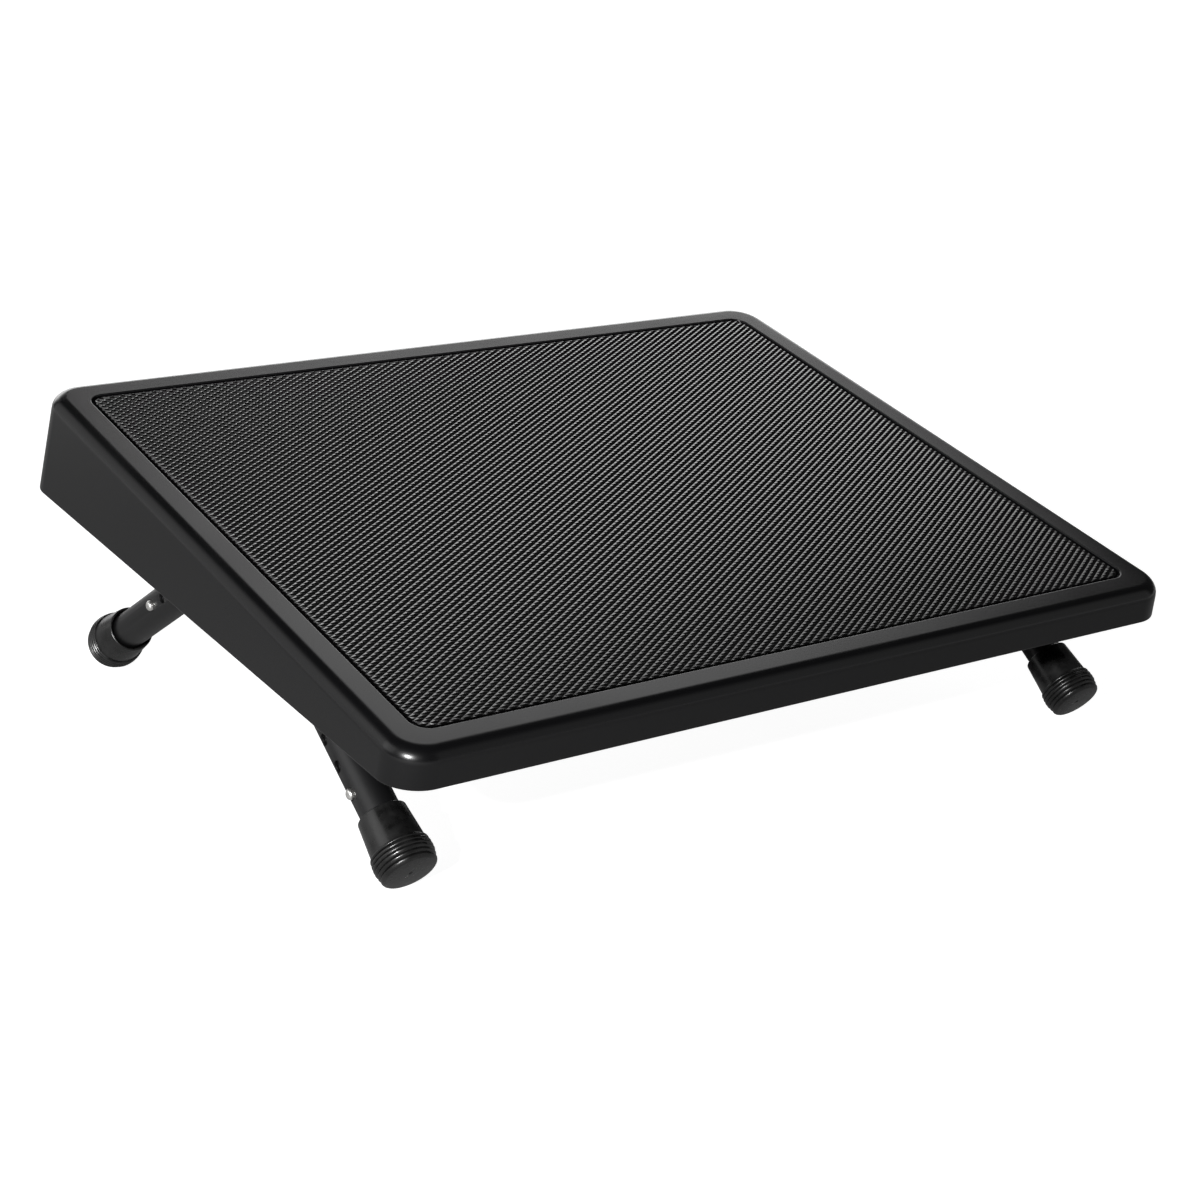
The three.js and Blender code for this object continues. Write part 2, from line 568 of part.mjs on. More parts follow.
// The whole footrest
const platform = new THREE.Group();
platform.rotation.x = TILT;
platform.add(platformShell(), treadMat(), legFrame('left', -1), legFrame('right', 1));

for (const leg of LEGS) {
  const group = new THREE.Group();
  legMatrix(leg).decompose(group.position, group.quaternion, group.scale);
  group.add(saddle(leg), sleeve(leg), boot(leg), snapButton(leg), buttonSpring(leg));
  group.add(saddleScrew(leg, 1, `${leg.name}_saddle_screw_outer`));
  group.add(saddleScrew(leg, -1, `${leg.name}_saddle_screw_inner`));
  platform.add(group);
}

// Stood on its boots, with the origin under the middle
const footrest = new THREE.Group();
footrest.add(platform);
footrest.updateMatrixWorld(true);
const box = new THREE.Box3().setFromObject(footrest, true);
const middle = box.getCenter(new THREE.Vector3());
platform.position.set(-middle.x, -middle.y, -box.min.z);

export default footrest;
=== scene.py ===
# %% [markdown]
# # An under desk footrest
# A moulded black platform with a rubber tread mat in its top, on two bent tube frames. Each leg has a
# holed sleeve, a snap button and a ribbed rubber boot. The measured model comes in as a fixed frame, and
# every visible piece is then modelled round it at its real size.

# %% Load the frame
import json
import math

import bmesh
import bpy
from mathutils import Matrix, Vector


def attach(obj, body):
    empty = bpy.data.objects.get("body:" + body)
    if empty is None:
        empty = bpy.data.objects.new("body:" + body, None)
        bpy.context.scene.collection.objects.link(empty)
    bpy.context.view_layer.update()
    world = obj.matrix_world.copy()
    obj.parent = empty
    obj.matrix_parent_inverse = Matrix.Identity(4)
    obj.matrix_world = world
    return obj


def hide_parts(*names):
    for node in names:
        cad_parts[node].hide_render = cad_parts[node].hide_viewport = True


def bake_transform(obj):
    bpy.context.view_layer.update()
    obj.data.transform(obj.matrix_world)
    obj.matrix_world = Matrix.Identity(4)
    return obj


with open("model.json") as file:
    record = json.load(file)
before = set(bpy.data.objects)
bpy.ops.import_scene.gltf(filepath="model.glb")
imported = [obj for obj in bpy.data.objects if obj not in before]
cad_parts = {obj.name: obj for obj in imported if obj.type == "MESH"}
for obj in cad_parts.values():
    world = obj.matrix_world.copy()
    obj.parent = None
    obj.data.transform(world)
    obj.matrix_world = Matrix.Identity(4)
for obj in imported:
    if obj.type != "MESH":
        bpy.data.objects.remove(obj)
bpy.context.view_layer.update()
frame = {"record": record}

MM = 0.001

# %% [markdown]
# The whole top leans towards the user. The frame says where: the mount on the mat's middle gives a point
# and the direction straight out of the tread. One matrix made from them lets every piece of the platform
# be modelled flat, with the top at height zero, and laid into its slope at the end.

# %% Where the platform lies
tread = frame["record"]["mounts"][0]
tread_up = Vector(tread["axis"])
TILT = math.atan2(-tread_up.y, tread_up.z)
MAT_UNDER_TOP = 0.1 * MM
top_middle = Vector(tread["pos_m"]) + tread_up * MAT_UNDER_TOP
PLATFORM = Matrix.Translation(top_middle) @ Matrix.Rotation(TILT, 4, "X")
print("tilt in degrees:", round(math.degrees(TILT), 2))

# %% [markdown]
# Each leg is a straight run from a point near the platform's middle, so it gets a matrix too: its own
# Z axis points back up the leg, and places along it are stations, measured down from that point.

# %% Where the legs lie
LEG_SPLAY = math.radians(56)
FRAME_SIDE = 207 * MM
APEX_BACK = 3.2 * MM
APEX_DOWN = 2.2 * MM
BUTTON_STATION_FRONT = 141.4 * MM
BUTTON_STATION_REAR = 103.2 * MM

legs = []
for side, out in (("left", -1), ("right", 1)):
    for end, back in (("front", -1), ("rear", 1)):
        apex = Matrix.Translation((out * FRAME_SIDE, APEX_BACK, -APEX_DOWN))
        lean = back * LEG_SPLAY - TILT
        legs.append({
            "name": f"{side}_{end}",
            "out": out,
            "back": back,
            "lean": lean,
            "place": PLATFORM @ apex @ Matrix.Rotation(lean, 4, "X"),
            "button": BUTTON_STATION_REAR if back > 0 else BUTTON_STATION_FRONT,
        })
print("legs:", [leg["name"] for leg in legs])

# %% [markdown]
# ## The photograph's view
# The camera stands low and to the left of the front edge, more than a metre away, with a long lens that
# keeps the platform's edges nearly parallel. A level camera would not match: the picture is turned a few
# degrees about the line of sight.

# %% Camera
CAMERA_AT = Vector((-0.71615, -0.97422, 0.49772))
CAMERA_AIM = Vector((-0.07399, -0.10566, 0.09845))
CAMERA_ROLL = math.radians(3.363)
CAMERA_LENS = 73.07
CAMERA_SENSOR = 36

camera_data = bpy.data.cameras.new("camera")
camera_data.lens = CAMERA_LENS
camera_data.sensor_width = CAMERA_SENSOR
camera = bpy.data.objects.new("camera", camera_data)
bpy.context.scene.collection.objects.link(camera)
aim = (CAMERA_AIM - CAMERA_AT).to_track_quat("-Z", "Y").to_matrix().to_4x4()
camera.matrix_world = Matrix.Translation(CAMERA_AT) @ aim @ Matrix.Rotation(CAMERA_ROLL, 4, "Z")
bpy.context.scene.camera = camera
bpy.context.scene.view_settings.view_transform = "Standard"
print("camera distance in m:", round((CAMERA_AIM - CAMERA_AT).length, 3))

# %% [markdown]
# ## Helpers
# Colours are written as the sRGB hex values that an eye or a picker gives, and Blender's sockets want
# linear light, so one function turns them. A second one adds a shader node with its settings and links.
# A noise texture seldom leaves the middle of its range, so that is what gets spread over a finish.

# %% Colour and node helpers
NOISE_LOW = 0.3
NOISE_HIGH = 0.7


def linear(hex_colour):
    """An sRGB hex colour as linear red, green, blue and alpha."""
    shares = [int(hex_colour[i:i + 2], 16) / 255 for i in (1, 3, 5)]
    return [s / 12.92 if s <= 0.04045 else ((s + 0.055) / 1.055) ** 2.4 for s in shares] + [1]


def add_node(tree, kind, settings=None, inputs=None):
    """Adds a shader node. An input's value is a number, a colour or another node's output."""
    node = tree.nodes.new("ShaderNode" + kind)
    for name, value in (settings or {}).items():
        setattr(node, name, value)
    for name, value in (inputs or {}).items():
        if isinstance(value, bpy.types.NodeSocket):
            tree.links.new(value, node.inputs[name])
        else:
            node.inputs[name].default_value = value
    return node


def new_material(name, **values):
    """A material with one Principled shader, whose plain values are set on its own sockets. Returns
    the material, its nodes, the shader and the place on the piece that a pattern starts from."""
    material = bpy.data.materials.new(name)
    material.use_nodes = True
    surface = material.node_tree.nodes["Principled BSDF"]
    for socket, value in values.items():
        surface.inputs[socket.replace("_", " ")].default_value = value
    print("material", name, "with roughness", values["Roughness"])
    tree = material.node_tree
    return material, tree, surface, add_node(tree, "TexCoord").outputs["Object"]


# %% [markdown]
# A piece is modelled as a bmesh and then becomes an object. Its place goes into its vertices, so the
# object itself stays at the origin and a pattern on Object coordinates keeps its scale. Faces are shaded
# smooth, and edges sharper than an angle stay crisp.

# %% Piece helpers
CRISP_EDGE = math.radians(38)
SQUARE_EDGE = math.radians(60)
SAME_POINT = 0.002 * MM
ON_PLANE = 0.0001 * MM
NEAR = 0.05 * MM
END_BAND = 1 * MM


def make_piece(name, bm, place, body, material, crisp=CRISP_EDGE):
    """Turns a bmesh into an object that has one material and rides on a body, if one is given."""
    bm.transform(place)
    mesh = bpy.data.meshes.new(name)
    bm.to_mesh(mesh)
    bm.free()
    mesh.materials.append(material)
    mesh.shade_smooth()
    mesh.set_sharp_from_angle(angle=crisp)
    piece = bpy.data.objects.new(name, mesh)
    bpy.context.scene.collection.objects.link(piece)
    if body:
        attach(piece, body)
    print(name, "has", sum(len(p.vertices) - 2 for p in mesh.polygons), "triangles")
    return piece


def sharp_edges(bm, wanted, angle=CRISP_EDGE):
    """The edges that fold more than an angle and whose two ends are wanted."""
    bm.normal_update()
    folded = [e for e in bm.edges if e.is_manifold and e.calc_face_angle() > angle]
    return [e for e in folded if all(wanted(v.co) for v in e.verts)]


def round_edges(bm, edges, radius, segments=3):
    """Rounds edges with a circular bevel."""
    bmesh.ops.bevel(
        bm, geom=edges, offset=radius, segments=segments, profile=0.5,
        affect="EDGES", material=-1, clamp_overlap=True,
    )


def cut_off(bm, point, outward):
    """Cuts away what lies outside a plane. The cut stays open."""
    bmesh.ops.bisect_plane(
        bm, geom=bm.verts[:] + bm.edges[:] + bm.faces[:], dist=ON_PLANE,
        plane_co=point, plane_no=outward, clear_outer=True,
    )


def draw_edges(bm, edges, by):
    """Extrudes edges by a vector and returns the new open edges."""
    drawn = bmesh.ops.extrude_edge_only(bm, edges=edges)["geom"]
    bmesh.ops.translate(bm, verts=[g for g in drawn if isinstance(g, bmesh.types.BMVert)], vec=by)
    return [g for g in drawn if isinstance(g, bmesh.types.BMEdge) and g.is_boundary]


def carve(solid, cutter):
    """A bmesh with another cut out of it. Both are used up."""
    objects = []
    for bm in (solid, cutter):
        mesh = bpy.data.meshes.new("carving")
        bm.to_mesh(mesh)
        bm.free()
        objects.append(bpy.data.objects.new("carving", mesh))
        bpy.context.scene.collection.objects.link(objects[-1])
    cut = objects[0].modifiers.new("cut", "BOOLEAN")
    cut.object = objects[1]
    cut.solver = "EXACT"
    carved = objects[0].evaluated_get(bpy.context.evaluated_depsgraph_get())
    result = bmesh.new()
    result.from_mesh(carved.to_mesh())
    for used in objects:
        bpy.data.meshes.remove(used.data)
    return result


# %% [markdown]
# ## Materials
# ### Moulded ABS
# The platform is black ABS, injection moulded in a tool whose walls were polished to a satin. The
# pigment leaves almost no colour, so what the eye reads is the reflection: soft grey where the surface
# mirrors the bright studio wall, nearly black where it mirrors the dark. A faint waviness and a fine
# grain keep it from looking like glass. The grain of a real tool is about 0.1 mm, and is drawn at
# 0.5 mm so that it shows.

# %% Moulded ABS
ABS_GRAIN = 0.5 * MM
ABS_GRAIN_DEPTH = 0.05 * MM
ABS_FLOW = 60 * MM
abs_black, tree, surface, place = new_material(
    "moulded_abs", Base_Color=linear("#060607"), Roughness=0.24, IOR=1.45,
)
grain = add_node(tree, "TexNoise", inputs={"Vector": place, "Scale": 1 / ABS_GRAIN, "Detail": 2.0})
flow = add_node(tree, "TexNoise", inputs={"Vector": place, "Scale": 1 / ABS_FLOW, "Detail": 1.0})
sheen = add_node(
    tree, "MapRange",
    inputs={
        "Value": flow.outputs["Fac"], "From Min": NOISE_LOW, "From Max": NOISE_HIGH,
        "To Min": 0.2, "To Max": 0.27,
    },
)
tree.links.new(sheen.outputs["Result"], surface.inputs["Roughness"])
relief = add_node(
    tree, "Bump", inputs={"Strength": 0.2, "Distance": ABS_GRAIN_DEPTH, "Height": grain.outputs["Fac"]},
)
tree.links.new(relief.outputs["Normal"], surface.inputs["Normal"])

# %% [markdown]
# ### Moulded rubber mat
# The tread mat is black rubber, pressed in a plate mould. Rubber is duller than ABS and its carbon black
# makes it just as dark, so the raised diamonds show by the light on their slopes.

# %% Mat rubber
RUBBER_GRAIN = 0.4 * MM
MAT_GRAIN_DEPTH = 0.05 * MM
mat_rubber, tree, surface, place = new_material(
    "pressed_rubber", Base_Color=linear("#050505"), Roughness=0.14, IOR=1.5,
)
grain = add_node(tree, "TexNoise", inputs={"Vector": place, "Scale": 1 / RUBBER_GRAIN, "Detail": 2.0})
relief = add_node(
    tree, "Bump", inputs={"Strength": 0.1, "Distance": MAT_GRAIN_DEPTH, "Height": grain.outputs["Fac"]},
)
tree.links.new(relief.outputs["Normal"], surface.inputs["Normal"])

# %% [markdown]
# ### Boot rubber
# The boots are injection moulded rubber with a slight bloom, a dusty grey film in soft patches, and they
# pick up fine scuffs on the ribs that touch the floor.

# %% Boot rubber
BLOOM_PATCH = 6 * MM
BOOT_GRAIN_DEPTH = 0.06 * MM
boot_rubber, tree, surface, place = new_material(
    "moulded_boot_rubber", Base_Color=linear("#121212"), Roughness=0.34, IOR=1.52,
)
bloom = add_node(tree, "TexNoise", inputs={"Vector": place, "Scale": 1 / BLOOM_PATCH, "Detail": 4.0})
film = add_node(
    tree, "MapRange", inputs={"Value": bloom.outputs["Fac"], "From Min": 0.35, "From Max": NOISE_HIGH},
)
tint = add_node(
    tree, "Mix", {"data_type": "RGBA"},
    {"Factor": film.outputs["Result"], "A": linear("#0a0a0a"), "B": linear("#191919")},
)
tree.links.new(tint.outputs["Result"], surface.inputs["Base Color"])
dull = add_node(
    tree, "MapRange",
    inputs={
        "Value": bloom.outputs["Fac"], "From Min": NOISE_LOW, "From Max": NOISE_HIGH,
        "To Min": 0.22, "To Max": 0.36,
    },
)
tree.links.new(dull.outputs["Result"], surface.inputs["Roughness"])
grain = add_node(tree, "TexNoise", inputs={"Vector": place, "Scale": 1 / RUBBER_GRAIN, "Detail": 3.0})
relief = add_node(
    tree, "Bump", inputs={"Strength": 0.1, "Distance": BOOT_GRAIN_DEPTH, "Height": grain.outputs["Fac"]},
)
tree.links.new(relief.outputs["Normal"], surface.inputs["Normal"])

# %% [markdown]
# ### Powder coated steel
# The tubes are steel with a satin black powder coat. Baked powder never lies quite flat: it keeps an
# orange peel of shallow dimples, 1 to 2 mm across, that breaks up a reflection a little.

# %% Powder coat
ORANGE_PEEL = 1.5 * MM
PEEL_DEPTH = 0.05 * MM
powder_coat, tree, surface, place = new_material(
    "powder_coated_steel", Base_Color=linear("#0c0c0d"), Roughness=0.38, IOR=1.5,
)
peel = add_node(tree, "TexNoise", inputs={"Vector": place, "Scale": 1 / ORANGE_PEEL, "Detail": 1.0})
relief = add_node(
    tree, "Bump", inputs={"Strength": 0.2, "Distance": PEEL_DEPTH, "Height": peel.outputs["Fac"]},
)
tree.links.new(relief.outputs["Normal"], surface.inputs["Normal"])

# %% [markdown]
# ### Bright and plain steel
# The snap buttons are nickel plated and bright. The springs behind them are bare strip, with the fine
# lengthways lines of rolling. The saddle screws are zinc plated, a paler and slightly clouded grey.

# %% Metals
WEAR = 0.8 * MM
ROLLING_LINE = 0.25 * MM
ROLLING_STRETCH_SHARE = 0.05
ZINC_CLOUD = 2 * MM
nickel, tree, surface, place = new_material(
    "nickel_plate", Base_Color=linear("#f7f6f3"), Metallic=1.0, Roughness=0.34,
)
wear = add_node(tree, "TexNoise", inputs={"Vector": place, "Scale": 1 / WEAR, "Detail": 3.0})
dull = add_node(
    tree, "MapRange",
    inputs={
        "Value": wear.outputs["Fac"], "From Min": NOISE_LOW, "From Max": NOISE_HIGH,
        "To Min": 0.3, "To Max": 0.4,
    },
)
tree.links.new(dull.outputs["Result"], surface.inputs["Roughness"])

spring_steel, tree, surface, place = new_material(
    "rolled_spring_steel", Base_Color=linear("#8b8a88"), Metallic=1.0, Roughness=0.35,
)
stretch = (1, ROLLING_STRETCH_SHARE, ROLLING_STRETCH_SHARE)
along = add_node(tree, "Mapping", inputs={"Vector": place, "Scale": stretch})
lines = add_node(tree, "TexNoise", inputs={"Vector": along.outputs["Vector"], "Scale": 1 / ROLLING_LINE})
dull = add_node(
    tree, "MapRange",
    inputs={
        "Value": lines.outputs["Fac"], "From Min": NOISE_LOW, "From Max": NOISE_HIGH,
        "To Min": 0.25, "To Max": 0.45,
    },
)
tree.links.new(dull.outputs["Result"], surface.inputs["Roughness"])

zinc, tree, surface, place = new_material(
    "zinc_plate", Base_Color=linear("#b6b8bb"), Metallic=1.0, Roughness=0.32,
)
cloud = add_node(tree, "TexNoise", inputs={"Vector": place, "Scale": 1 / ZINC_CLOUD, "Detail": 3.0})
tint = add_node(
    tree, "Mix", {"data_type": "RGBA"},
    {"Factor": cloud.outputs["Fac"], "A": linear("#9fa2a6"), "B": linear("#c9cacc")},
)
tree.links.new(tint.outputs["Result"], surface.inputs["Base Color"])

# %% [markdown]
# ## The platform
# The platform is one moulding: a shallow tray turned upside down, with walls that grow from the low
# front to the high back, and a recess in its top for the mat. It starts as a block whose lower corners
# are moved out by the mould's draft. Bevels round its upright edges, a cut along one sloping plane makes
# the rim, and one more bevel rounds the top edge, which is the order in which a toolmaker would work.

# %% Platform sizes
RECESS_WIDTH = 430 * MM
RECESS_DEPTH = 338 * MM
RECESS_CORNER = 9 * MM
RECESS_FLOOR = 3 * MM
BORDER_FLAT = 10.5 * MM
BORDER_FILLET = 7 * MM
FILLET_SEGMENTS = 8
PLAN_CORNER = 19 * MM
WALL_DEPTH_BACK = 56 * MM
WALL_DEPTH_FRONT = 18.8 * MM
WALL_DRAFT = math.radians(3.5)
WALL_THICKNESS = 2.8 * MM
PLATE_UNDERSIDE = 5.4 * MM
WALL_HALF_WIDTH = RECESS_WIDTH / 2 + BORDER_FLAT + BORDER_FILLET
WALL_HALF_DEPTH = RECESS_DEPTH / 2 + BORDER_FLAT + BORDER_FILLET
CORNER_SEGMENTS = 14


def rim_depth(y):
    """How deep the wall reaches under the top, at a distance behind the middle."""
    share = (y + WALL_HALF_DEPTH) / (2 * WALL_HALF_DEPTH)
    return WALL_DEPTH_FRONT + (WALL_DEPTH_BACK - WALL_DEPTH_FRONT) * share


# %% Outer walls
BLOCK_DEPTH = 70 * MM
RIM_SLOPE = (WALL_DEPTH_BACK - WALL_DEPTH_FRONT) / (2 * WALL_HALF_DEPTH)
DRAFT_START = BORDER_FILLET * math.tan(WALL_DRAFT)
half_top = Matrix.Diagonal((WALL_HALF_WIDTH - DRAFT_START, WALL_HALF_DEPTH - DRAFT_START, 1, 1))
tray = bmesh.new()
bmesh.ops.create_cube(tray, size=2, matrix=half_top)
flare = BLOCK_DEPTH * math.tan(WALL_DRAFT)
for corner in tray.verts:
    if corner.co.z > 0:
        corner.co.z = 0
        continue
    corner.co.x += math.copysign(flare, corner.co.x)
    corner.co.y += math.copysign(flare, corner.co.y)
    corner.co.z = -BLOCK_DEPTH
uprights = [e for e in tray.edges if abs(e.verts[0].co.z - e.verts[1].co.z) > BORDER_FILLET]
round_edges(tray, uprights, PLAN_CORNER, CORNER_SEGMENTS)
cut_off(tray, (0, 0, -rim_depth(0)), (0, -RIM_SLOPE, -1))
bmesh.ops.contextual_create(tray, geom=[e for e in tray.edges if e.is_boundary])
round_edges(tray, sharp_edges(tray, lambda co: co.z > -END_BAND), BORDER_FILLET, FILLET_SEGMENTS)
print("walls:", len(tray.faces), "faces")

# %% [markdown]
# The recess has rounder corners than the border round it, so an inset would not give it. Its outline is
# a second rectangle with bevelled corners, and a bridge between the two outlines makes the flat border.
# The outline is then drawn down to the recess's floor.

# %% Border and recess
top_face = max(tray.faces, key=lambda face: face.calc_center_median().z)
border_edges = list(top_face.edges)
bmesh.ops.delete(tray, geom=[top_face], context="FACES_ONLY")
half_recess = Matrix.Diagonal((RECESS_WIDTH / 2, RECESS_DEPTH / 2, 1, 1))
sheet = bmesh.ops.create_grid(tray, x_segments=1, y_segments=1, size=1, matrix=half_recess)
bmesh.ops.bevel(
    tray, geom=sheet["verts"], offset=RECESS_CORNER, segments=CORNER_SEGMENTS, profile=0.5,
    affect="VERTICES", material=-1,
)
outline_points = 4 * (CORNER_SEGMENTS + 1)
recess_face = next(
    face for face in tray.faces
    if len(face.verts) == outline_points and face.calc_center_median().z > -END_BAND
)
recess_edges = list(recess_face.edges)
bmesh.ops.delete(tray, geom=[recess_face], context="FACES_ONLY")
bmesh.ops.bridge_loops(tray, edges=border_edges + recess_edges)
floor_loop = draw_edges(tray, recess_edges, (0, 0, -RECESS_FLOOR))
bmesh.ops.contextual_create(tray, geom=floor_loop)
print("recess floor loop:", len(floor_loop), "edges")

# %% [markdown]
# Underneath, the moulding is hollow. The bottom face is inset by the wall's thickness, which leaves the
# rim, and the face inside it is pushed up to the underside of the plate. The rim's edges are then just
# broken, as they are on the real moulding, where they show as a thin line of light. The finished tray is
# set down by a few hundredths of a millimetre, because its finer rounding stands that much prouder than
# the measured model's.

# %% Hollow underside
RIM_EDGE = 1 * MM
LIP_EDGE = 0.8 * MM
FLOOR_EDGE = 0.5 * MM
TOP_CLEARANCE = 0.04 * MM
tray.normal_update()
bottom = min(tray.faces, key=lambda face: face.calc_center_median().z)
bmesh.ops.inset_region(tray, faces=[bottom], thickness=WALL_THICKNESS, use_even_offset=True)
raised = bmesh.ops.extrude_face_region(tray, geom=[bottom])["geom"]
roof = [g for g in raised if isinstance(g, bmesh.types.BMVert)]
bmesh.ops.delete(tray, geom=[bottom], context="FACES_ONLY")
low_y = min(v.co.y for v in roof)
high_y = max(v.co.y for v in roof)
high_x = max(v.co.x for v in roof)
for v in roof:
    v.co.x *= (WALL_HALF_WIDTH - WALL_THICKNESS) / high_x
    share = (v.co.y - low_y) / (high_y - low_y)
    v.co.y = (2 * share - 1) * (WALL_HALF_DEPTH - WALL_THICKNESS)
    v.co.z = -PLATE_UNDERSIDE
on_rim = sharp_edges(tray, lambda co: abs(co.z + rim_depth(co.y)) < NEAR)
round_edges(tray, on_rim, RIM_EDGE)
on_lip = sharp_edges(tray, lambda co: co.z > -NEAR, SQUARE_EDGE)
round_edges(tray, on_lip, LIP_EDGE)
on_floor = sharp_edges(tray, lambda co: abs(co.z + RECESS_FLOOR) < NEAR)
round_edges(tray, on_floor, FLOOR_EDGE, segments=2)
bmesh.ops.recalc_face_normals(tray, faces=tray.faces)
open_edges = [e for e in tray.edges if not e.is_manifold]
print("open edges:", len(open_edges))
lowered = PLATFORM @ Matrix.Translation((0, 0, -TOP_CLEARANCE))
platform_tray = make_piece("platform_tray", tray, lowered, "platform", abs_black)
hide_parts("platform_shell")

# %% [markdown]
# Smooth shading blends the flat border into its rounded edge, so the flat would look bulged. A weighted
# normal modifier gives the large faces the say over their corners: the border mirrors like a flat, and
# the dark line of the rounding starts where the rounding starts.

# %% True flats
true_flats = platform_tray.modifiers.new("true flats", "WEIGHTED_NORMAL")
true_flats.mode = "FACE_AREA"
true_flats.keep_sharp = True
print("modifiers on the tray:", [m.name for m in platform_tray.modifiers])

# %% [markdown]
# Ribs stiffen the plate from below: thin blades that taper downwards so that they leave the mould. Each
# is a block that is scaled narrower at its foot, and the crossing rib under the tubes' bends stops short
# of them.

# %% Ribs
RIB_HEIGHT = 8 * MM
RIB_THICKNESS = 1.8 * MM
RIB_FOOT_SHARE = 0.7
RIB_SUNK = 0.4 * MM
RIBS_LENGTHWAYS = 9
RIB_SPREAD_WIDTH = 374 * MM
RIBS_ACROSS = 7
RIB_SPREAD_DEPTH = 272 * MM
TUBE_ROOM = 9 * MM

ribs = bmesh.new()


def add_rib(x, y, length_x, length_y):
    """One rib block, centred over a place under the plate."""
    size = Matrix.Diagonal((length_x, length_y, RIB_HEIGHT + RIB_SUNK, 1))
    middle_z = -PLATE_UNDERSIDE - (RIB_HEIGHT - RIB_SUNK) / 2
    block = bmesh.ops.create_cube(ribs, size=1, matrix=Matrix.Translation((x, y, middle_z)) @ size)
    feet = [v for v in block["verts"] if v.co.z < middle_z]
    narrow = (RIB_FOOT_SHARE, 1, 1) if length_x < length_y else (1, RIB_FOOT_SHARE, 1)
    bmesh.ops.scale(ribs, vec=narrow, space=Matrix.Translation((-x, -y, 0)), verts=feet)


for i in range(RIBS_LENGTHWAYS):
    at_x = RIB_SPREAD_WIDTH * (i / (RIBS_LENGTHWAYS - 1) - 1 / 2)
    add_rib(at_x, 0, RIB_THICKNESS, 2 * WALL_HALF_DEPTH - WALL_THICKNESS)
for i in range(RIBS_ACROSS):
    at_y = RIB_SPREAD_DEPTH * (i / (RIBS_ACROSS - 1) - 1 / 2)
    full = WALL_HALF_WIDTH - WALL_THICKNESS / 2
    if abs(at_y) > RIB_THICKNESS:
        add_rib(0, at_y, 2 * full, RIB_THICKNESS)
        continue
    add_rib(0, at_y, 2 * (FRAME_SIDE - TUBE_ROOM), RIB_THICKNESS)
    for out in (-1, 1):
        outside = full - FRAME_SIDE - TUBE_ROOM
        add_rib(out * (full - outside / 2), at_y, outside, RIB_THICKNESS)
make_piece("platform_ribs", ribs, PLATFORM, "platform", abs_black)

# %% [markdown]
# ## The tread mat
# The grip is a lattice of small raised diamonds, about 6 mm wide and 3.7 mm deep, moulded all over the
# mat. They are real geometry, because their slopes are what catches the light and a bump map would stay
# flat at this low angle. A plain grid is turned into the diamond lattice by one matrix and cut to the
# outline of the recess, less a gap.

# %% Mat lattice
DIAMOND_WIDTH = 5.91 * MM
DIAMOND_DEPTH = 3.65 * MM
DIAMOND_HEIGHT = 0.52 * MM
MAT_SUNK = 0.15 * MM
MAT_GAP = 1.9 * MM
MAT_CORNER = 7.1 * MM
MAT_CORNER_CUTS = 9
MAT_HALF_WIDTH = RECESS_WIDTH / 2 - MAT_GAP
MAT_HALF_DEPTH = RECESS_DEPTH / 2 - MAT_GAP

reach = MAT_HALF_WIDTH / DIAMOND_WIDTH + MAT_HALF_DEPTH / DIAMOND_DEPTH
cells = 2 * math.ceil(reach) + 2
mat = bmesh.new()
half_cell = (DIAMOND_WIDTH / 2, DIAMOND_DEPTH / 2)
lattice = Matrix((
    (half_cell[0], -half_cell[0], 0, 0),
    (half_cell[1], half_cell[1], 0, 0),
    (0, 0, 1, 0),
    (0, 0, 0, 1),
))
bmesh.ops.create_grid(mat, x_segments=cells, y_segments=cells, size=cells / 2, matrix=lattice)
print("lattice cells before the cut:", len(mat.faces))
for sign in (-1, 1):
    cut_off(mat, (sign * MAT_HALF_WIDTH, 0, 0), (sign, 0, 0))
    cut_off(mat, (0, sign * MAT_HALF_DEPTH, 0), (0, sign, 0))
for side_x, side_y in ((1, 1), (-1, 1), (-1, -1), (1, -1)):
    for i in range(MAT_CORNER_CUTS):
        angle = (i + 0.5) / MAT_CORNER_CUTS * math.pi / 2
        outward = Vector((side_x * math.cos(angle), side_y * math.sin(angle), 0))
        centre = Vector((side_x * (MAT_HALF_WIDTH - MAT_CORNER), side_y * (MAT_HALF_DEPTH - MAT_CORNER), 0))
        cut_off(mat, centre + outward * MAT_CORNER, outward)
print("cells after the cut:", len(mat.faces))

# %% [markdown]
# Each cell is then poked up in its middle to a point, which makes a low pyramid. A cell that the edge has
# cut is smaller than its neighbours, so its point is lower in the same proportion and its slopes are as
# steep. The outline is drawn down to the recess's floor.

# %% Raised diamonds
WHOLE_AREA = DIAMOND_WIDTH * DIAMOND_DEPTH / 2
rim_edges = [e for e in mat.edges if e.is_boundary]
cells_by_share = {}
for face in mat.faces:
    share = min(round(face.calc_area() / WHOLE_AREA, 1), 1.0)
    cells_by_share.setdefault(share, []).append(face)
for share, faces in sorted(cells_by_share.items()):
    bmesh.ops.poke(mat, faces=faces, offset=DIAMOND_HEIGHT * share, center_mode="MEAN")
skirt_foot = draw_edges(mat, rim_edges, (0, 0, MAT_SUNK + DIAMOND_HEIGHT - RECESS_FLOOR))
bmesh.ops.contextual_create(mat, geom=skirt_foot)
bmesh.ops.recalc_face_normals(mat, faces=mat.faces)
print("diamonds:", sum(len(faces) for faces in cells_by_share.values()))

# %% [markdown]
# The diamonds stay flat shaded: smooth shading would melt their slopes into one grey, and it is the
# bright slope beside the dark one that makes the tread. Their points lie just under the border, and the
# gap round the mat is what shows as a thin black line along its left edge.

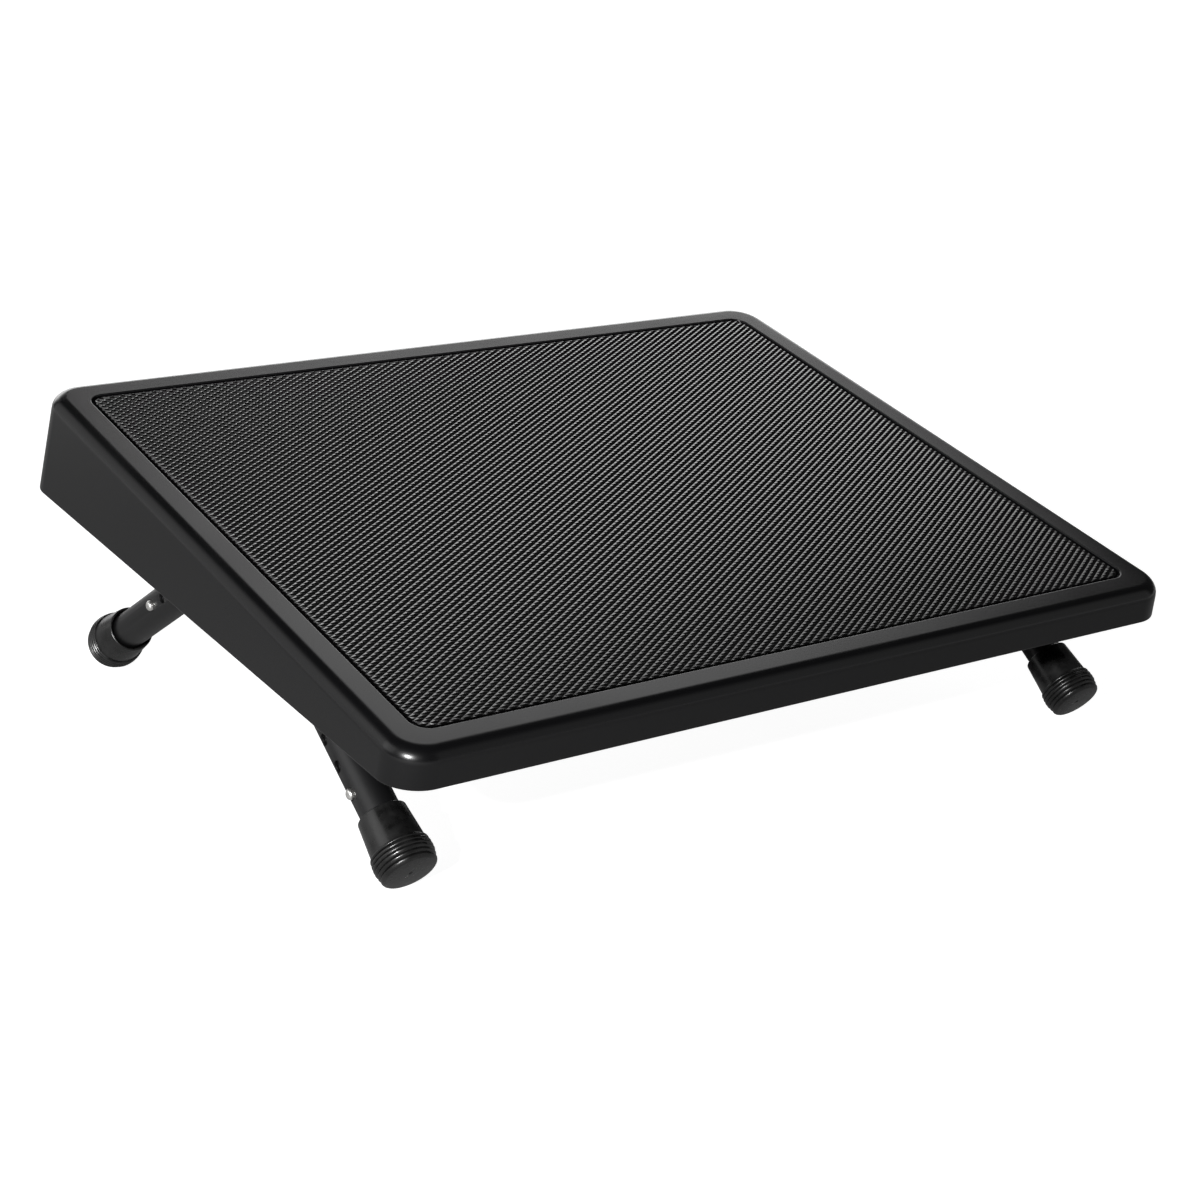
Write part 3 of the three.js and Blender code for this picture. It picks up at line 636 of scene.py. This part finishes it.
# %% Mat piece
FACET_EDGE = math.radians(4)
mat_top = PLATFORM @ Matrix.Translation((0, 0, -MAT_SUNK - DIAMOND_HEIGHT))
grip = make_piece(
    "tread_mat_diamonds", mat, mat_top, "platform", mat_rubber, crisp=FACET_EDGE,
)
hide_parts("tread_mat")

# %% [markdown]
# ## The legs
# Everything on a leg is round, so its pieces are profiles spun about the leg's axis. A profile is a short
# chain of points given as radius and station, its corners are rounded by a vertex bevel, and a full spin
# closes it.

# %% Spun pieces
def spun(profile, rounding, sides, segments=4):
    """A solid of revolution about the leg's axis from points of radius and station. rounding gives
    each corner's radius by its place in the profile."""
    bm = bmesh.new()
    points = [bm.verts.new((radius, 0, -station)) for radius, station in profile]
    for first, second in zip(points, points[1:]):
        bm.edges.new((first, second))
    for index, radius in rounding.items():
        bmesh.ops.bevel(
            bm, geom=[points[index]], offset=radius, segments=segments, profile=0.5,
            affect="VERTICES", material=-1,
        )
    bmesh.ops.spin(
        bm, geom=bm.verts[:] + bm.edges[:], axis=(0, 0, 1), cent=(0, 0, 0),
        steps=sides, angle=2 * math.pi, use_merge=True,
    )
    bmesh.ops.remove_doubles(bm, verts=bm.verts, dist=SAME_POINT)
    bmesh.ops.recalc_face_normals(bm, faces=bm.faces)
    return bm


# %% [markdown]
# A boot is a thick rubber cap. Its lip is rounded and stands a little off the tube, which leaves the dark
# ring seen at its mouth. A smooth cone widens down to a band of ribs that bulge and fall away again. Each
# rib's crest follows the bulge, so only the lower ones lean enough to catch the lamp. The last one has no
# groove under it and ends in a flat disc, whose edge stands on the floor.

# %% Boot sizes
LEG_LENGTH = 186 * MM
BOOT_LENGTH = 31.1 * MM
BOOT_FLOOR = 6 * MM
BOOT_LIP_RADIUS = 11.7 * MM
BOOT_MOUTH_RADIUS = 10.7 * MM
BOOT_MOUTH_TAPER = 4 * MM
BOOT_BORE = 9.8 * MM
BOOT_MOUTH_ROUND = 0.25 * MM
BOOT_LIP_ROUND = 0.6 * MM
BOOT_CONE_RADIUS = 13.6 * MM
BOOT_RIB_PITCH = 2.1 * MM
BOOT_RIB_GROOVE = 0.95 * MM
BOOT_RIB_SWELL = 1 * MM
BOOT_END_ROUND = 1.4 * MM
BOOT_SIDES = 80
GATE_RADIUS = 1.1 * MM
GATE_DEPTH = 0.35 * MM
CONE_GROOVE_SHARE = 0.4
BULGE_SHARES = [0.3, 0.7, 0.95, 1, 0.55, 0.05, -0.45]
RIB_START_SHARE = 0.1
RIB_CREST_SHARE = 0.6
RIB_GROOVE_SHARE = 0.85
RIB_UPPER_ROUND = 0.3 * MM
RIB_LOWER_ROUND = 0.45 * MM

# %% Boot profile
lip = LEG_LENGTH - BOOT_LENGTH
ribs_start = LEG_LENGTH - (len(BULGE_SHARES) - 1) * BOOT_RIB_PITCH
boot_profile = [
    (0, LEG_LENGTH - BOOT_FLOOR),
    (BOOT_BORE, LEG_LENGTH - BOOT_FLOOR),
    (BOOT_BORE, lip + BOOT_MOUTH_TAPER),
    (BOOT_MOUTH_RADIUS, lip),
    (BOOT_LIP_RADIUS, lip),
    (BOOT_CONE_RADIUS - CONE_GROOVE_SHARE * BOOT_RIB_GROOVE, ribs_start),
]
boot_rounding = {3: BOOT_MOUTH_ROUND, 4: BOOT_LIP_ROUND}
for i, (upper, lower) in enumerate(zip(BULGE_SHARES, BULGE_SHARES[1:])):
    start = ribs_start + i * BOOT_RIB_PITCH
    crest_start = BOOT_CONE_RADIUS + BOOT_RIB_SWELL * upper
    crest_end = BOOT_CONE_RADIUS + BOOT_RIB_SWELL * lower
    boot_rounding[len(boot_profile)] = RIB_UPPER_ROUND
    boot_profile.append((crest_start, start + RIB_START_SHARE * BOOT_RIB_PITCH))
    boot_rounding[len(boot_profile)] = RIB_LOWER_ROUND
    boot_profile.append((crest_end, start + RIB_CREST_SHARE * BOOT_RIB_PITCH))
    boot_profile.append((crest_end - BOOT_RIB_GROOVE, start + RIB_GROOVE_SHARE * BOOT_RIB_PITCH))
del boot_profile[-2:]
boot_rounding[len(boot_profile)] = BOOT_END_ROUND
boot_profile.append((crest_end, LEG_LENGTH))
boot_profile.append((GATE_RADIUS, LEG_LENGTH))
boot_profile.append((GATE_RADIUS - GATE_DEPTH, LEG_LENGTH - GATE_DEPTH))
boot_profile.append((0, LEG_LENGTH - GATE_DEPTH))
print("boot profile:", len(boot_profile), "points")

# %% Boots
for leg in legs:
    boot = spun(boot_profile, boot_rounding, BOOT_SIDES, segments=3)
    name = leg["name"]
    piece = make_piece(f"{name}_ribbed_boot", boot, leg["place"], f"{name}_leg", boot_rubber)
    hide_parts(f"{name}_boot")

# %% [markdown]
# A sleeve is a plain tube with three round holes in its outer side. The holes are drilled on the real one
# too, so they are cut with cylinders here, and their outer edges are broken, because powder coat rounds
# every edge that it covers.

# %% Sleeves
SLEEVE_RADIUS = 9.5 * MM
SLEEVE_WALL = 1.2 * MM
SLEEVE_PAST_HOLES = 12 * MM
HOLE_PITCH = 15 * MM
HOLE_COUNT = 3
HOLE_RADIUS = 2.9 * MM
HOLE_SIDES = 40
HOLE_EDGE = 0.2 * MM
HOLE_FOLD = math.radians(50)
SEAT_GAP = 0.3 * MM
SLEEVE_EDGE = 0.4 * MM
SLEEVE_SIDES = 96
SLEEVE_CRISP = math.radians(30)


def drill(leg, station):
    """A cylinder that runs out through the tube's outer side at a station."""
    cutter = bmesh.new()
    sideways = Matrix.Rotation(math.pi / 2, 4, "Y")
    reach_out = leg["out"] * SLEEVE_RADIUS
    bmesh.ops.create_cone(
        cutter, cap_ends=True, segments=HOLE_SIDES, radius1=HOLE_RADIUS, radius2=HOLE_RADIUS,
        depth=SLEEVE_RADIUS, matrix=Matrix.Translation((reach_out, 0, -station)) @ sideways,
    )
    return cutter


for leg in legs:
    upper_end = leg["button"] - (HOLE_COUNT - 1) * HOLE_PITCH - SLEEVE_PAST_HOLES
    lower_end = LEG_LENGTH - BOOT_FLOOR - SEAT_GAP
    bore = SLEEVE_RADIUS - SLEEVE_WALL
    profile = [
        (bore, upper_end), (SLEEVE_RADIUS, upper_end), (SLEEVE_RADIUS, lower_end), (bore, lower_end),
        (bore, upper_end),
    ]
    tube = spun(profile, {1: SLEEVE_EDGE}, SLEEVE_SIDES)
    for i in range(HOLE_COUNT):
        tube = carve(tube, drill(leg, leg["button"] - i * HOLE_PITCH))
    hole_edges = sharp_edges(
        tube,
        lambda co: abs(co.xy.length - SLEEVE_RADIUS) < NEAR
        and upper_end + END_BAND < -co.z < lower_end - END_BAND,
        HOLE_FOLD,
    )
    round_edges(tube, hole_edges, HOLE_EDGE, segments=2)
    name = leg["name"]
    piece = make_piece(
        f"{name}_holed_sleeve", tube, leg["place"], f"{name}_leg", powder_coat,
        crisp=SLEEVE_CRISP,
    )
    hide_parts(f"{name}_sleeve")

# %% [markdown]
# A snap button is a turned steel pin with a domed head, pushed out through the hole by a spring. A short
# chain of points is spun about its own axis and laid crossways in the leg.

# %% Snap buttons
BUTTON_RADIUS = 2.6 * MM
BUTTON_PROUD = 1.9 * MM
BUTTON_FOOT = 4.4 * MM
BUTTON_FLANGE = 3.6 * MM
BUTTON_FLANGE_TOP = 5.1 * MM
BUTTON_DOME = 1.5 * MM
BUTTON_SIDES = 48
for leg in legs:
    head = SLEEVE_RADIUS + BUTTON_PROUD
    profile = [
        (0, BUTTON_FOOT), (BUTTON_FLANGE, BUTTON_FOOT), (BUTTON_FLANGE, BUTTON_FLANGE_TOP),
        (BUTTON_RADIUS, BUTTON_FLANGE_TOP), (BUTTON_RADIUS, head), (0, head),
    ]
    pin = spun(profile, {4: BUTTON_DOME}, BUTTON_SIDES, segments=8)
    lay = Matrix.Translation((0, 0, -leg["button"])) @ Matrix.Rotation(leg["out"] * math.pi / -2, 4, "Y")
    name = leg["name"]
    piece = make_piece(
        f"{name}_domed_button", pin, leg["place"] @ lay, f"{name}_button", nickel,
    )
    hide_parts(f"{name}_snap_button")

# %% [markdown]
# ## The frames
# Each frame is one length of tube, bent to the angle between its two legs. A circle at the front end is
# drawn straight up to the bend, turned about the bend's centre by a spin, and drawn down to the rear end.
# The skin then gets the tube's wall inwards, and each end a hole for its button.

# %% Bent frames
FRAME_TUBE_RADIUS = 8 * MM
FRAME_TUBE_WALL = 1.5 * MM
FRAME_SIDES = 48
BEND_RADIUS = 64 * MM
BEND_STEPS = 20
FRAME_END_PAST_BUTTON = 12 * MM
for side, out in (("left", -1), ("right", 1)):
    front, rear = (leg for leg in legs if leg["out"] == out)
    turn = math.pi - 2 * LEG_SPLAY
    tangent = BEND_RADIUS * math.tan(turn / 2)
    front_end = front["button"] + FRAME_END_PAST_BUTTON
    rear_end = rear["button"] + FRAME_END_PAST_BUTTON
    front_place = front["place"]
    tube = bmesh.new()
    bmesh.ops.create_circle(
        tube, segments=FRAME_SIDES, radius=FRAME_TUBE_RADIUS,
        matrix=front_place @ Matrix.Translation((0, 0, -front_end)),
    )
    loop = draw_edges(tube, tube.edges[:], front_place.to_3x3() @ Vector((0, 0, front_end - tangent)))
    centre = front_place @ Vector((0, BEND_RADIUS, -tangent))
    bent = bmesh.ops.spin(tube, geom=loop, axis=(1, 0, 0), cent=centre, steps=BEND_STEPS, angle=-turn)
    loop = [g for g in bent["geom_last"] if isinstance(g, bmesh.types.BMEdge)]
    draw_edges(tube, loop, rear["place"].to_3x3() @ Vector((0, 0, tangent - rear_end)))
    bmesh.ops.recalc_face_normals(tube, faces=tube.faces)
    bmesh.ops.solidify(tube, geom=tube.faces[:], thickness=FRAME_TUBE_WALL)
    for leg in (front, rear):
        cutter = drill(leg, leg["button"])
        cutter.transform(leg["place"])
        tube = carve(tube, cutter)
    piece = make_piece(
        f"{side}_bent_frame", tube, Matrix.Identity(4), "platform", powder_coat,
    )
    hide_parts(f"{side}_leg_frame")

# %% [markdown]
# Behind each button, inside the tube, is a spring: a steel strip bent back on itself, with one arm under
# the button and one along the far wall. Its outline is a chain of points with a half turn that a spin
# draws. Pressing the button squeezes the arms together. The piece rides on no body and stays where it is
# made.

# %% Bent strips
def bent_strip(tip, root, centre, axis, angle, steps, far_tip, across):
    """A strip without thickness: an arm from tip to root, a half turn, and an arm to the far tip."""
    bm = bmesh.new()
    root = bm.verts.new(root)
    bm.edges.new((bm.verts.new(tip), root))
    half_turn = bmesh.ops.spin(bm, geom=[root], axis=axis, cent=centre, steps=steps, angle=angle)
    far_root = next(g for g in half_turn["geom_last"] if isinstance(g, bmesh.types.BMVert))
    bm.edges.new((far_root, bm.verts.new(far_tip)))
    draw_edges(bm, bm.edges[:], across)
    bmesh.ops.translate(bm, verts=bm.verts, vec=Vector(across) / -2)
    bmesh.ops.remove_doubles(bm, verts=bm.verts, dist=SAME_POINT)
    bm.normal_update()
    return bm


# %% Button springs
SPRING_THICKNESS = 0.6 * MM
SPRING_WIDTH = 6 * MM
SPRING_PAST_BUTTON = 6 * MM
SPRING_LENGTH = 30 * MM
SPRING_BEND_STEPS = 16
SPRING_EDGE = 0.12 * MM
frame_bore = FRAME_TUBE_RADIUS - FRAME_TUBE_WALL
near_arm = BUTTON_FOOT - SEAT_GAP
far_arm = math.sqrt(frame_bore ** 2 - (SPRING_WIDTH / 2) ** 2) - SEAT_GAP
bend_radius = (near_arm + far_arm) / 2
for leg in legs:
    out = leg["out"]
    tip_z = -leg["button"] - SPRING_PAST_BUTTON
    bend_z = tip_z + SPRING_LENGTH - bend_radius
    spring = bent_strip(
        tip=(out * near_arm, 0, tip_z), root=(out * near_arm, 0, bend_z),
        centre=(out * (near_arm - far_arm) / 2, 0, bend_z), axis=(0, 1, 0), angle=-out * math.pi,
        steps=SPRING_BEND_STEPS, far_tip=(-out * far_arm, 0, tip_z), across=(0, SPRING_WIDTH, 0),
    )
    arm = max(spring.faces, key=lambda face: out * face.calc_center_median().x)
    if out * arm.normal.x < 0:
        bmesh.ops.reverse_faces(spring, faces=spring.faces)
    bmesh.ops.solidify(spring, geom=spring.faces[:], thickness=SPRING_THICKNESS)
    bmesh.ops.recalc_face_normals(spring, faces=spring.faces)
    square = sharp_edges(spring, lambda co: True, SQUARE_EDGE)
    round_edges(spring, square, SPRING_EDGE, segments=2)
    name = leg["name"]
    piece = make_piece(f"{name}_leaf_spring", spring, leg["place"], None, spring_steel)
    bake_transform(piece)
    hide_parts(f"{name}_button_spring")

# %% [markdown]
# ## The saddles
# Under the plate, each frame lies in one cradle on each leg's root, moulded with the platform, and a nylon
# saddle holds it there with two screws. A cradle is a block whose upright edges are rounded. It is cut off
# along the tube's middle, and the tube's path and the pilot holes are cut out.

# %% Cradles
SADDLE_STATION = 51 * MM
SADDLE_LENGTH = 14 * MM
SADDLE_HALF_WIDTH = 20 * MM
SCREW_OFFSET = 15.2 * MM
SCREW_HOLE = 1.8 * MM
TUBE_CLEARANCE = FRAME_TUBE_RADIUS + SEAT_GAP
SPLIT_GAP = SEAT_GAP / 2
CRADLE_CORNER = 1.2 * MM
CRADLE_SUNK = 1.2 * MM
CRADLE_TOP = PLATE_UNDERSIDE - CRADLE_SUNK
ROD_SIDES = 48
TUBE_PATH = 4 * SADDLE_LENGTH
SCREW_PATH = 2 * SADDLE_LENGTH


def leg_rod(leg, radius, depth, x=0.0, upright=False):
    """A cylinder at the saddle's station, along the tube or crossways to it as the screws are."""
    rod = bmesh.new()
    at = Matrix.Translation((x, 0, -SADDLE_STATION))
    turn = Matrix.Rotation(math.pi / 2, 4, "X") if upright else Matrix.Identity(4)
    bmesh.ops.create_cone(
        rod, cap_ends=True, segments=ROD_SIDES, radius1=radius, radius2=radius, depth=depth, matrix=at @ turn,
    )
    return rod


for leg in legs:
    along = math.sin(leg["lean"])
    foot = APEX_DOWN + (SADDLE_STATION + SADDLE_LENGTH) * math.cos(leg["lean"])
    middle = (leg["out"] * FRAME_SIDE, APEX_BACK + SADDLE_STATION * along, -(CRADLE_TOP + foot) / 2)
    size = Matrix.Diagonal((2 * SADDLE_HALF_WIDTH, SADDLE_LENGTH * abs(along), foot - CRADLE_TOP, 1))
    cradle = bmesh.new()
    bmesh.ops.create_cube(cradle, size=1, matrix=Matrix.Translation(middle) @ size)
    upright = [e for e in cradle.edges if abs(e.verts[0].co.z - e.verts[1].co.z) > CRADLE_CORNER]
    round_edges(cradle, upright, CRADLE_CORNER, segments=4)
    cradle.transform(leg["place"].inverted() @ PLATFORM)
    up = leg["back"]
    cut_off(cradle, (0, up * SPLIT_GAP, 0), (0, -up, 0))
    bmesh.ops.contextual_create(cradle, geom=[e for e in cradle.edges if e.is_boundary])
    bmesh.ops.recalc_face_normals(cradle, faces=cradle.faces)
    cradle = carve(cradle, leg_rod(leg, TUBE_CLEARANCE, TUBE_PATH))
    for side in (-1, 1):
        cradle = carve(cradle, leg_rod(leg, SCREW_HOLE, SCREW_PATH, side * SCREW_OFFSET, True))
    make_piece(f"{leg['name']}_cradle", cradle, leg["place"], "platform", abs_black)

# %% [markdown]
# The saddles are moulded nylon, a little greyer and duller than the ABS, with a fine even grain.

# %% Nylon
NYLON_GRAIN = 0.35 * MM
NYLON_GRAIN_DEPTH = 0.06 * MM
nylon, tree, surface, place = new_material(
    "moulded_nylon", Base_Color=linear("#111111"), Roughness=0.45, IOR=1.53,
)
grain = add_node(tree, "TexNoise", inputs={"Vector": place, "Scale": 1 / NYLON_GRAIN, "Detail": 2.0})
relief = add_node(
    tree, "Bump", inputs={"Strength": 0.25, "Distance": NYLON_GRAIN_DEPTH, "Height": grain.outputs["Fac"]},
)
tree.links.new(relief.outputs["Normal"], surface.inputs["Normal"])

# %% [markdown]
# A saddle starts as the same kind of strip as the spring: one ear, a half turn round the tube, and the
# other ear, drawn along the tube. Solidify gives it its wall, its edges are rounded, and the two ears are
# drilled.

# %% Saddles
SADDLE_THICKNESS = 2.6 * MM
SADDLE_EDGE = 0.6 * MM
ARC_STEPS = 24
for leg in legs:
    up = leg["back"]
    saddle = bent_strip(
        tip=(SADDLE_HALF_WIDTH, -SPLIT_GAP, 0), root=(TUBE_CLEARANCE, -SPLIT_GAP, 0),
        centre=(0, -SPLIT_GAP, 0), axis=(0, 0, 1), angle=-math.pi,
        steps=ARC_STEPS, far_tip=(-SADDLE_HALF_WIDTH, -SPLIT_GAP, 0), across=(0, 0, -SADDLE_LENGTH),
    )
    ear = max(saddle.faces, key=lambda face: face.calc_center_median().x)
    if ear.normal.y > 0:
        bmesh.ops.reverse_faces(saddle, faces=saddle.faces)
    bmesh.ops.solidify(saddle, geom=saddle.faces[:], thickness=-SADDLE_THICKNESS)
    bmesh.ops.recalc_face_normals(saddle, faces=saddle.faces)
    round_edges(saddle, sharp_edges(saddle, lambda co: True, SQUARE_EDGE), SADDLE_EDGE)
    bmesh.ops.translate(saddle, verts=saddle.verts, vec=(0, 0, -SADDLE_STATION))
    bmesh.ops.scale(saddle, verts=saddle.verts, vec=(1, up, 1))
    bmesh.ops.recalc_face_normals(saddle, faces=saddle.faces)
    for side in (-1, 1):
        saddle = carve(saddle, leg_rod(leg, SCREW_HOLE, SCREW_PATH, side * SCREW_OFFSET, True))
    name = leg["name"]
    piece = make_piece(f"{name}_nylon_saddle", saddle, leg["place"], "platform", nylon)
    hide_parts(f"{name}_saddle")

# %% [markdown]
# The saddle screws are pan heads with a cross recess. Each is a spun profile, and two thin blocks cut
# the cross.

# %% Saddle screws
SCREW_RADIUS = 1.5 * MM
SCREW_SHANK = 12 * MM
SCREW_TIP = 1.2 * MM
SCREW_HEAD_RADIUS = 3.5 * MM
SCREW_HEAD_HEIGHT = 2.3 * MM
SCREW_HEAD_DOME = 1.6 * MM
SCREW_SIDES = 32
CROSS_LENGTH = 4 * MM
CROSS_WIDTH = 0.9 * MM
CROSS_DEPTH = 1.2 * MM
under_head = SPLIT_GAP + SADDLE_THICKNESS + SEAT_GAP
for leg in legs:
    for side, place_name in ((1, "outer"), (-1, "inner")):
        top = under_head + SCREW_HEAD_HEIGHT
        profile = [
            (0, top), (SCREW_HEAD_RADIUS, top), (SCREW_HEAD_RADIUS, under_head), (SCREW_RADIUS, under_head),
            (SCREW_RADIUS, under_head - SCREW_SHANK + SCREW_TIP), (0, under_head - SCREW_SHANK),
        ]
        screw = spun(profile, {1: SCREW_HEAD_DOME}, SCREW_SIDES, segments=6)
        for length_x, length_y in ((CROSS_LENGTH, CROSS_WIDTH), (CROSS_WIDTH, CROSS_LENGTH)):
            cutter = bmesh.new()
            size = Matrix.Diagonal((length_x, length_y, 2 * CROSS_DEPTH, 1))
            bmesh.ops.create_cube(cutter, size=1, matrix=Matrix.Translation((0, 0, -top)) @ size)
            screw = carve(screw, cutter)
        lay = Matrix.Translation((side * leg["out"] * SCREW_OFFSET, 0, -SADDLE_STATION))
        lay = lay @ Matrix.Rotation(leg["back"] * math.pi / -2, 4, "X")
        name = leg["name"]
        piece = make_piece(
            f"{name}_pan_screw_{place_name}", screw, leg["place"] @ lay, "platform", zinc,
        )
        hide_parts(f"{name}_saddle_screw_{place_name}")

# %% [markdown]
# ## The studio
# The platform is so dark that its look is made of what it mirrors. It stands on pale paper that glows
# white for the camera, while the paper's own grey keeps a faint shadow. In reflections the paper glows
# only further off, because close by a real floor lies in the object's shade. The glow is worked out by a
# chain of steps, each of which takes the number so far and one more.

# %% Floor
FLOOR_HALF = 6.0
FLOOR_GLOW = 0.94
DIM_REACH = 0.5
WHITE_REACH = 1.6
MIRRORED_SHARE = 0.5
SOFT_STEP = {"interpolation_type": "SMOOTHSTEP"}
floor_bm = bmesh.new()
bmesh.ops.create_grid(floor_bm, x_segments=1, y_segments=1, size=FLOOR_HALF)
floor_mesh = bpy.data.meshes.new("floor")
floor_bm.to_mesh(floor_mesh)
floor_bm.free()
floor = bpy.data.objects.new("floor", floor_mesh)
bpy.context.scene.collection.objects.link(floor)
paper, tree, surface, place = new_material("studio_paper", Base_Color=linear("#a0a0a0"), Roughness=0.9)
away = add_node(tree, "VectorMath", {"operation": "LENGTH"}, {0: place}).outputs["Value"]
far = add_node(
    tree, "MapRange", SOFT_STEP,
    {"Value": away, "From Min": DIM_REACH, "From Max": WHITE_REACH, "To Max": MIRRORED_SHARE},
)
rays = add_node(tree, "LightPath").outputs
glow = rays["Is Glossy Ray"]
for operation, other in (
    ("MAXIMUM", rays["Is Transmission Ray"]),
    ("MULTIPLY", far.outputs["Result"]),
    ("MAXIMUM", rays["Is Camera Ray"]),
    ("MULTIPLY", FLOOR_GLOW),
):
    glow = add_node(tree, "Math", {"operation": operation}, {0: glow, 1: other}).outputs["Value"]
surface.inputs["Emission Color"].default_value = (1, 1, 1, 1)
tree.links.new(glow, surface.inputs["Emission Strength"])
floor_mesh.materials.append(paper)
print("floor side in m:", 2 * FLOOR_HALF)

# %% [markdown]
# The room is painted by direction in the world, so nothing stands in it that would have to be built. It
# is dim nearly everywhere, and three soft areas of light are added to that: a low wall, pale sides and a
# round patch. How closely a direction agrees with an area's middle is a dot product.

# %% World
ROOM_LEVEL = 0.04
AGREEMENT = {"operation": "DOT_PRODUCT"}
world = bpy.data.worlds.new("studio")
bpy.context.scene.world = world
world.use_nodes = True
tree = world.node_tree
tree.nodes.clear()
way = add_node(tree, "TexCoord").outputs["Generated"]
height = add_node(tree, "SeparateXYZ", inputs={"Vector": way}).outputs["Z"]
level_way = add_node(tree, "VectorMath", {"operation": "MULTIPLY"}, {0: way, 1: (1, 1, 0)})
level_way = add_node(tree, "VectorMath", {"operation": "NORMALIZE"}, {0: level_way.outputs["Vector"]})
level_way = level_way.outputs["Vector"]


def towards(azimuth, height_angle=0.0):
    """The direction at an azimuth, measured from straight behind to the right, and at a height."""
    flat = math.cos(height_angle)
    return (flat * math.sin(azimuth), flat * math.cos(azimuth), math.sin(height_angle))


print("room level:", ROOM_LEVEL)

# %% [markdown]
# The low wall behind is brightest a little above the floor, and ends well under the direction that the
# rounded edges mirror. The diamonds' far slopes mirror it, so it draws the tread.

# %% Low wall
WALL_AZIMUTH = math.radians(22)
WALL_FULL = math.radians(20)
WALL_FADED = math.radians(33)
WALL_TOP = math.radians(20)
WALL_TOP_FADED = math.radians(27)
WALL_FOOT = math.radians(6)
WALL_LEVEL = 2.7
WALL_FOOT_LEVEL = 2.16
near_wall = add_node(tree, "VectorMath", AGREEMENT, {0: level_way, 1: towards(WALL_AZIMUTH)})
wall_light = add_node(
    tree, "MapRange", SOFT_STEP,
    {"Value": height, "From Max": math.sin(WALL_FOOT), "To Min": WALL_FOOT_LEVEL, "To Max": WALL_LEVEL},
)
print("wall levels:", WALL_FOOT_LEVEL, WALL_LEVEL)

# %% [markdown]
# Left and right of the view the room is pale up to a soft line. The lower half of each rounded edge
# mirrors it, so that only a band along the top stays dark.

# %% Pale sides
LEFT_AZIMUTH = math.radians(-45)
SIDE_FADED = math.sin(math.radians(60))
SIDE_FULL = math.sin(math.radians(76))
SIDE_TOP = math.radians(30)
SIDE_TOP_FADED = math.radians(54)
LEFT_LEVEL = 0.6
RIGHT_LEVEL = 0.28
to_left = add_node(tree, "VectorMath", AGREEMENT, {0: level_way, 1: towards(LEFT_AZIMUTH)})
to_side = add_node(tree, "Math", {"operation": "ABSOLUTE"}, {0: to_left.outputs["Value"]})
side_light = add_node(
    tree, "MapRange", SOFT_STEP,
    {"Value": to_left.outputs["Value"], "From Min": -1, "To Min": RIGHT_LEVEL, "To Max": LEFT_LEVEL},
)
print("side levels:", LEFT_LEVEL, RIGHT_LEVEL)

# %% [markdown]
# Above the low wall and to its right is a round soft patch of light, which the flat border mirrors. The
# border is grey at its ends and brightest along the front, because the patch has a middle.

# %% Round patch
PATCH_AZIMUTH = math.radians(41)
PATCH_HEIGHT = math.radians(41)
PATCH_FULL = math.radians(5)
PATCH_FADED = math.radians(16)
PATCH_LEVEL = 1.25
near_patch = add_node(
    tree, "VectorMath", AGREEMENT, {0: way, 1: towards(PATCH_AZIMUTH, PATCH_HEIGHT)},
)
print("patch level:", PATCH_LEVEL)

# %% [markdown]
# Each area gets its soft ends from steps that run from nothing, where it has faded, up to the light that
# it had so far. The areas and the dim room are then added up. The camera itself sees plain white.

# %% Soft ends
areas = {
    "wall": wall_light.outputs["Result"],
    "sides": side_light.outputs["Result"],
    "patch": PATCH_LEVEL,
}
for area, measure, faded_at, full_at in (
    ("wall", height, math.sin(WALL_TOP_FADED), math.sin(WALL_TOP)),
    ("wall", near_wall.outputs["Value"], math.cos(WALL_FADED), math.cos(WALL_FULL)),
    ("sides", height, math.sin(SIDE_TOP_FADED), math.sin(SIDE_TOP)),
    ("sides", to_side.outputs["Value"], SIDE_FADED, SIDE_FULL),
    ("patch", near_patch.outputs["Value"], math.cos(PATCH_FADED), math.cos(PATCH_FULL)),
):
    ends = {"Value": measure, "From Min": faded_at, "From Max": full_at, "To Max": areas[area]}
    areas[area] = add_node(tree, "MapRange", SOFT_STEP, ends).outputs["Result"]
level = ROOM_LEVEL
for light in areas.values():
    level = add_node(tree, "Math", {"operation": "ADD"}, {0: level, 1: light}).outputs["Value"]
seen = add_node(tree, "LightPath").outputs["Is Camera Ray"]
level = add_node(tree, "Math", {"operation": "MAXIMUM"}, {0: level, 1: seen}).outputs["Value"]
sky = add_node(tree, "Background", inputs={"Color": (1, 1, 1, 1), "Strength": level})
add_node(tree, "OutputWorld", inputs={"Surface": sky.outputs["Background"]})
print("world nodes:", len(tree.nodes))

# %% [markdown]
# Two lamps light the object. A small one near the camera gives the white spots on the corner, the buttons
# and the boots, and a wide soft one on the left lights the tubes. Both face the platform's middle.

# %% Lamps
LIT_MIDDLE = Vector((0, 0, 0.08))
KEY_AT = Vector((-1.2, -0.95, 0.68))
KEY_SIDE = 0.06
KEY_WATTS = 36
PANEL_AT = Vector((-1.7, 0.42, 1.0))
PANEL_SIDE = 1.2
PANEL_WATTS = 5


def add_lamp(name, at, side, watts):
    """A square lamp that faces the platform's middle and that the camera doesn't see."""
    data = bpy.data.lights.new(name, "AREA")
    data.shape = "SQUARE"
    data.size = side
    data.energy = watts
    lamp = bpy.data.objects.new(name, data)
    turn = (LIT_MIDDLE - at).to_track_quat("-Z", "Y").to_matrix().to_4x4()
    lamp.matrix_world = Matrix.Translation(at) @ turn
    lamp.visible_camera = False
    bpy.context.scene.collection.objects.link(lamp)
    print(name, "at", round((LIT_MIDDLE - at).length, 2), "m")


add_lamp("key_lamp", KEY_AT, KEY_SIDE, KEY_WATTS)
add_lamp("left_panel", PANEL_AT, PANEL_SIDE, PANEL_WATTS)
